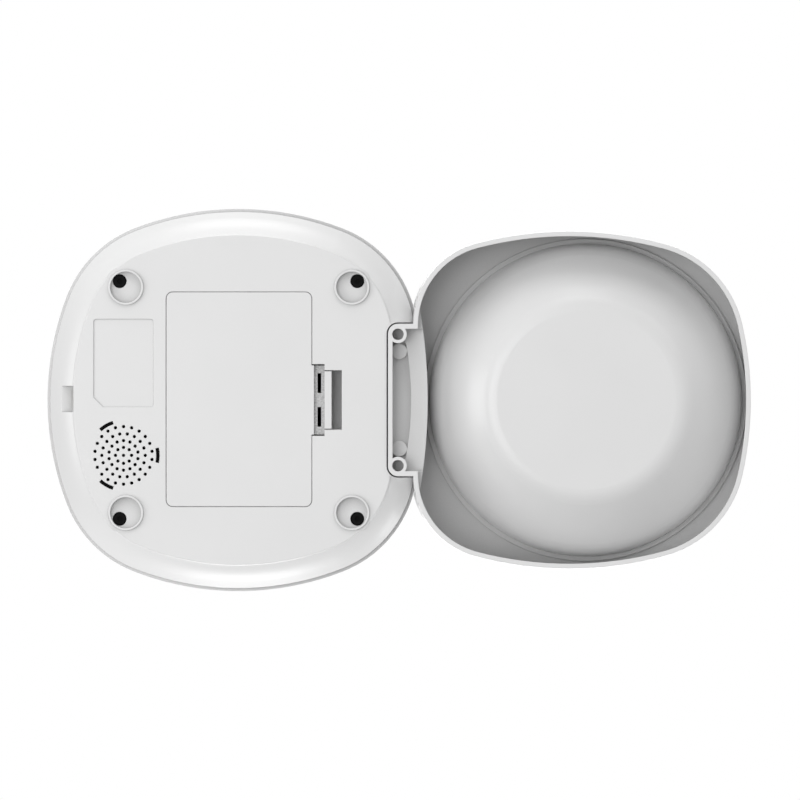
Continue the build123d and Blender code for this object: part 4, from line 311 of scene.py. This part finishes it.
def green_solder_mask():
    """Circuit board: green solder mask over copper traces that stand out a little, with pale pads."""
    material, tree, place = new_material("green_solder_mask")
    cells = add(tree, "ShaderNodeTexVoronoi", {"Vector": place, "Scale": per_mm(3.2), "Randomness": 0.35},
                distance="CHEBYCHEV")
    colour = add(tree, "ShaderNodeValToRGB", {"Fac": cells},
                 stops=[(0.0, "#C9C08F"), (0.5, "#226B40"), (0.1, "#1C5A35"), (0.42, "#17492C")])
    edges = add(tree, "ShaderNodeBevel", {"Radius": 0.1 * MM}, samples=6)
    surface = add(tree, "ShaderNodeBump", {"Height": cells, "Distance": 0.03 * MM, "Normal": edges})
    skin = add(tree, "ShaderNodeBsdfPrincipled", {"Base Color": colour, "Roughness": 0.3, "IOR": 1.55,
                                                  "Normal": surface})
    add(tree, "ShaderNodeOutputMaterial", {"Surface": skin})
    return material


def enamelled_copper_wire():
    """Reader coil: turns of enamelled wire 0.5 mm apart, wound side by side."""
    # A wave repeats every 0.314 of the length given to it, and 0.314 of 1.6 mm is the turns' 0.5 mm.
    material, tree, place = new_material("enamelled_copper_wire")
    turns = add(tree, "ShaderNodeTexWave", {"Vector": place, "Scale": per_mm(1.6), "Distortion": 0.2},
                bands_direction="Y")
    colour = add(tree, "ShaderNodeValToRGB", {"Fac": turns}, stops=[(0.0, "#5A2A12"), (1.0, "#C06A34")])
    surface = add(tree, "ShaderNodeBump", {"Height": turns, "Distance": 0.15 * MM})
    skin = add(tree, "ShaderNodeBsdfPrincipled", {"Base Color": colour, "Metallic": 0.8, "Roughness": 0.3,
                                                  "Normal": surface})
    add(tree, "ShaderNodeOutputMaterial", {"Surface": skin})
    return material


def grey_thermoplastic_rubber():
    """The portion wheel's soft rubber: matt, with a powdery bloom."""
    material, tree, place = new_material("grey_thermoplastic_rubber")
    bloom = add(tree, "ShaderNodeTexNoise", {"Vector": place, "Scale": per_mm(5), "Detail": 4})
    colour = add(tree, "ShaderNodeValToRGB", {"Fac": bloom}, stops=[(0.3, "#83888C"), (0.7, "#94999D")])
    edges = add(tree, "ShaderNodeBevel", {"Radius": 0.3 * MM}, samples=6)
    surface = add(tree, "ShaderNodeBump", {"Height": bloom, "Distance": 0.05 * MM, "Normal": edges})
    skin = add(tree, "ShaderNodeBsdfPrincipled", {"Base Color": colour, "Roughness": 0.75, "IOR": 1.5,
                                                  "Sheen Weight": 0.15, "Normal": surface})
    add(tree, "ShaderNodeOutputMaterial", {"Surface": skin})
    return material


def milky_silicone():
    """The lid's seal: translucent silicone with a soft gloss."""
    material, tree, place = new_material("milky_silicone")
    dust = add(tree, "ShaderNodeTexNoise", {"Vector": place, "Scale": per_mm(3), "Detail": 3})
    colour = add(tree, "ShaderNodeValToRGB", {"Fac": dust}, stops=[(0.3, "#CFD2D3"), (0.7, "#DCDEDE")])
    surface = add(tree, "ShaderNodeBump", {"Height": dust, "Distance": 0.02 * MM})
    skin = add(tree, "ShaderNodeBsdfPrincipled", {"Base Color": colour, "Roughness": 0.35, "IOR": 1.41,
                                                  "Subsurface Weight": 0.25, "Normal": surface})
    add(tree, "ShaderNodeOutputMaterial", {"Surface": skin})
    return material


def smoked_acrylic_window():
    """The display's smoked acrylic: glossy black, with the paler glass of the display just visible in it."""
    material, tree, place = new_material("smoked_acrylic_window")
    low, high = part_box("display_window")
    half_y, half_z = (high.y - low.y) / 2, (high.z - low.z) / 2
    centred = add(tree, "ShaderNodeMapping", {"Vector": place, "Location": (0, 0, -(low.z + high.z) / 2)})
    glass_y, glass_z = 0.78 * half_y, 0.62 * half_z     # the display's glass in the window
    scaled = add(tree, "ShaderNodeVectorMath", {0: centred, 1: (0, 1 / glass_y, 1 / glass_z)},
                 operation="MULTIPLY")
    folded = add(tree, "ShaderNodeVectorMath", {0: scaled}, operation="ABSOLUTE")
    parts = add(tree, "ShaderNodeSeparateXYZ", {"Vector": folded})
    edge = add(tree, "ShaderNodeMath", {0: parts.outputs["Y"], 1: parts.outputs["Z"]}, operation="MAXIMUM")
    colour = add(tree, "ShaderNodeValToRGB", {"Fac": edge}, stops=[(0.99, "#1D2423"), (1.0, "#0A0B0C")])
    waves = add(tree, "ShaderNodeTexNoise", {"Vector": place, "Scale": per_mm(30), "Detail": 1})
    rounded = add(tree, "ShaderNodeBevel", {"Radius": 0.4 * MM}, samples=6)
    surface = add(tree, "ShaderNodeBump", {"Height": waves, "Distance": 0.02 * MM, "Normal": rounded})
    skin = add(tree, "ShaderNodeBsdfPrincipled", {"Base Color": colour, "Roughness": 0.08, "IOR": 1.49,
                                                  "Normal": surface})
    add(tree, "ShaderNodeOutputMaterial", {"Surface": skin})
    return material


def grey_silicone_buttons():
    """Button caps of soft-touch grey silicone: matt, with a fine dusting."""
    material, tree, place = new_material("grey_silicone_buttons")
    dust = add(tree, "ShaderNodeTexNoise", {"Vector": place, "Scale": per_mm(1.5), "Detail": 3})
    colour = add(tree, "ShaderNodeValToRGB", {"Fac": dust}, stops=[(0.3, "#7C8186"), (0.7, "#8A8F94")])
    edges = add(tree, "ShaderNodeBevel", {"Radius": 0.3 * MM}, samples=6)
    surface = add(tree, "ShaderNodeBump", {"Height": dust, "Distance": 0.02 * MM, "Normal": edges})
    skin = add(tree, "ShaderNodeBsdfPrincipled", {"Base Color": colour, "Roughness": 0.55, "IOR": 1.45,
                                                  "Normal": surface})
    add(tree, "ShaderNodeOutputMaterial", {"Surface": skin})
    return material


# ---- dressing -------------------------------------------------------------------------------------
OUTER_SHELLS = ("main_housing", "hopper_housing", "hopper_lid", "spout_hood")


def dress_nodes():
    """Gives each node the finish of its material slot, but the outer shells and the latch their own."""
    finishes = {
        "white_satin": white_moulded_abs(),
        "dark_steel": black_oxide_steel(),
        "cell_jacket": printed_cell_jacket(),
        "nickel_spring": nickel_plated_spring_steel(),
        "speaker_black": pressed_black_steel(),
        "circuit_board": green_solder_mask(),
        "grey_frame": grey_filled_nylon(),
        "satin_steel": spun_stainless_steel(),
        "coil_copper": enamelled_copper_wire(),
        "clear_cover": clear_polycarbonate(),
        "gear_acetal": natural_acetal(),
        "motor_steel": zinc_plated_steel(),
        "soft_paddle": grey_thermoplastic_rubber(),
        "seal_silicone": milky_silicone(),
        "display_black": smoked_acrylic_window(),
        "button_grey": grey_silicone_buttons(),
    }
    own = dict.fromkeys(OUTER_SHELLS, polished_white_abs())
    own["battery_latch"] = etched_white_acetal()
    for part in frame["record"]["subparts"]:
        node = nodes[part["node"]]
        finish = own.get(part["node"]) or finishes[part["material_slot"]]
        node.data.materials.clear()
        node.data.materials.append(finish)


# ---- stage ----------------------------------------------------------------------------------------
AMBIENT = 0.45                      # strength of the surroundings as a light
MIRRORED = 0.8                      # and in a reflection
AIM = (0, 0, 0.02)                  # a point in the feeder's base
BOX_SIZE = (1.4, 1.4)
# Where each box stands, where it faces, its width and height in metres, and its watts.
SOFT_BOXES = {
    "under_left": ((-0.93, 0.0, -2.85), AIM, BOX_SIZE, 25.0),
    "left_side": ((-2.7, 0.0, -1.32), AIM, BOX_SIZE, 24.0),
    "far_side": ((0.0, -2.6, -1.5), AIM, BOX_SIZE, 14.5),
    "far_right": ((1.84, -1.84, -1.5), AIM, BOX_SIZE, 8.0),
    "far_edge": ((0.0, -3.0, 0.1), AIM, BOX_SIZE, 27.5),
    "near_edge": ((0.0, 2.98, 0.37), AIM, BOX_SIZE, 43.0),
    "right_high": ((2.44, 1.41, 1.03), AIM, BOX_SIZE, 17.0),
    "overhead": ((0, 0, 3.0), (0, 0, 0.1), (4.0, 4.0), 46.0),
}
FLOOR_HALF = 4.0
FLOOR_TOP = -0.0004                 # just under the plane that the feet stand on


def make_world():
    """White to the camera, off-white in reflections, and a plain soft light on everything else."""
    world = bpy.data.worlds.new("studio")
    bpy.context.scene.world = world
    world.use_nodes = True
    tree = world.node_tree
    tree.nodes.clear()
    ray = add(tree, "ShaderNodeLightPath").outputs
    seen = add(tree, "ShaderNodeMath", {0: ray["Is Camera Ray"], 1: ray["Is Transmission Ray"]},
               operation="MAXIMUM")
    mirrored = add(tree, "ShaderNodeMapRange", {"Value": ray["Is Glossy Ray"], "To Min": AMBIENT,
                                                "To Max": MIRRORED})
    strength = add(tree, "ShaderNodeMath", {0: seen, 1: mirrored}, operation="MAXIMUM")
    background = add(tree, "ShaderNodeBackground", {"Color": (1, 1, 1, 1), "Strength": strength})
    add(tree, "ShaderNodeOutputWorld", {"Surface": background})


def soft_box(name, place, target, size, power):
    """Area light at place, facing target."""
    light = bpy.data.lights.new(name, "AREA")
    light.shape = "RECTANGLE"
    light.size, light.size_y = size
    light.energy = power
    lamp = bpy.data.objects.new(name, light)
    bpy.context.scene.collection.objects.link(lamp)
    direction = np.array(target, float) - np.array(place, float)
    lamp.location = place
    lamp.rotation_euler = Vector(direction).to_track_quat("-Z", "Y").to_euler()
    return lamp


def make_floor():
    """Pale floor that is seen only from above and neither shades nor lights the feeder."""
    mesh = bpy.data.meshes.new("floor")
    corners = [(-1, -1), (1, -1), (1, 1), (-1, 1)]
    mesh.from_pydata([(x * FLOOR_HALF, y * FLOOR_HALF, FLOOR_TOP) for x, y in corners], [], [(0, 1, 2, 3)])
    floor = bpy.data.objects.new("floor", mesh)
    bpy.context.scene.collection.objects.link(floor)
    material, tree, _ = new_material("pale_floor")
    side = add(tree, "ShaderNodeNewGeometry").outputs["Backfacing"]
    paint = add(tree, "ShaderNodeBsdfDiffuse", {"Color": hex_colour("#F4F4F3")})
    clear = add(tree, "ShaderNodeBsdfTransparent")
    mix = add(tree, "ShaderNodeMixShader", {"Fac": side, 1: paint, 2: clear})
    add(tree, "ShaderNodeOutputMaterial", {"Surface": mix})
    mesh.materials.append(material)
    floor.visible_shadow = floor.visible_diffuse = floor.visible_glossy = floor.visible_transmission = False


def make_camera():
    """Looks straight up from far below, with the rear of the feeder to the left."""
    data = bpy.data.cameras.new("camera")
    data.sensor_width = 36.0
    data.lens = data.sensor_width * CAMERA_DISTANCE / VIEW_WIDTH
    data.clip_end = 50
    camera = bpy.data.objects.new("camera", data)
    bpy.context.scene.collection.objects.link(camera)
    camera.matrix_world = Matrix(((1, 0, 0, VIEW_CENTRE_X), (0, -1, 0, 0),
                                  (0, 0, -1, -CAMERA_DISTANCE), (0, 0, 0, 1)))
    bpy.context.scene.camera = camera


dress_nodes()
make_world()
feeder = bpy.data.collections.new("feeder")
for node in nodes.values():
    feeder.objects.link(node)
for name, spec in SOFT_BOXES.items():
    lamp = soft_box(name, *spec)
    # The boxes beside and below the feeder would draw bright bands on the floor.
    if name != "overhead":
        lamp.light_linking.receiver_collection = feeder
make_floor()
make_camera()
bpy.context.scene.view_settings.view_transform = "Standard"
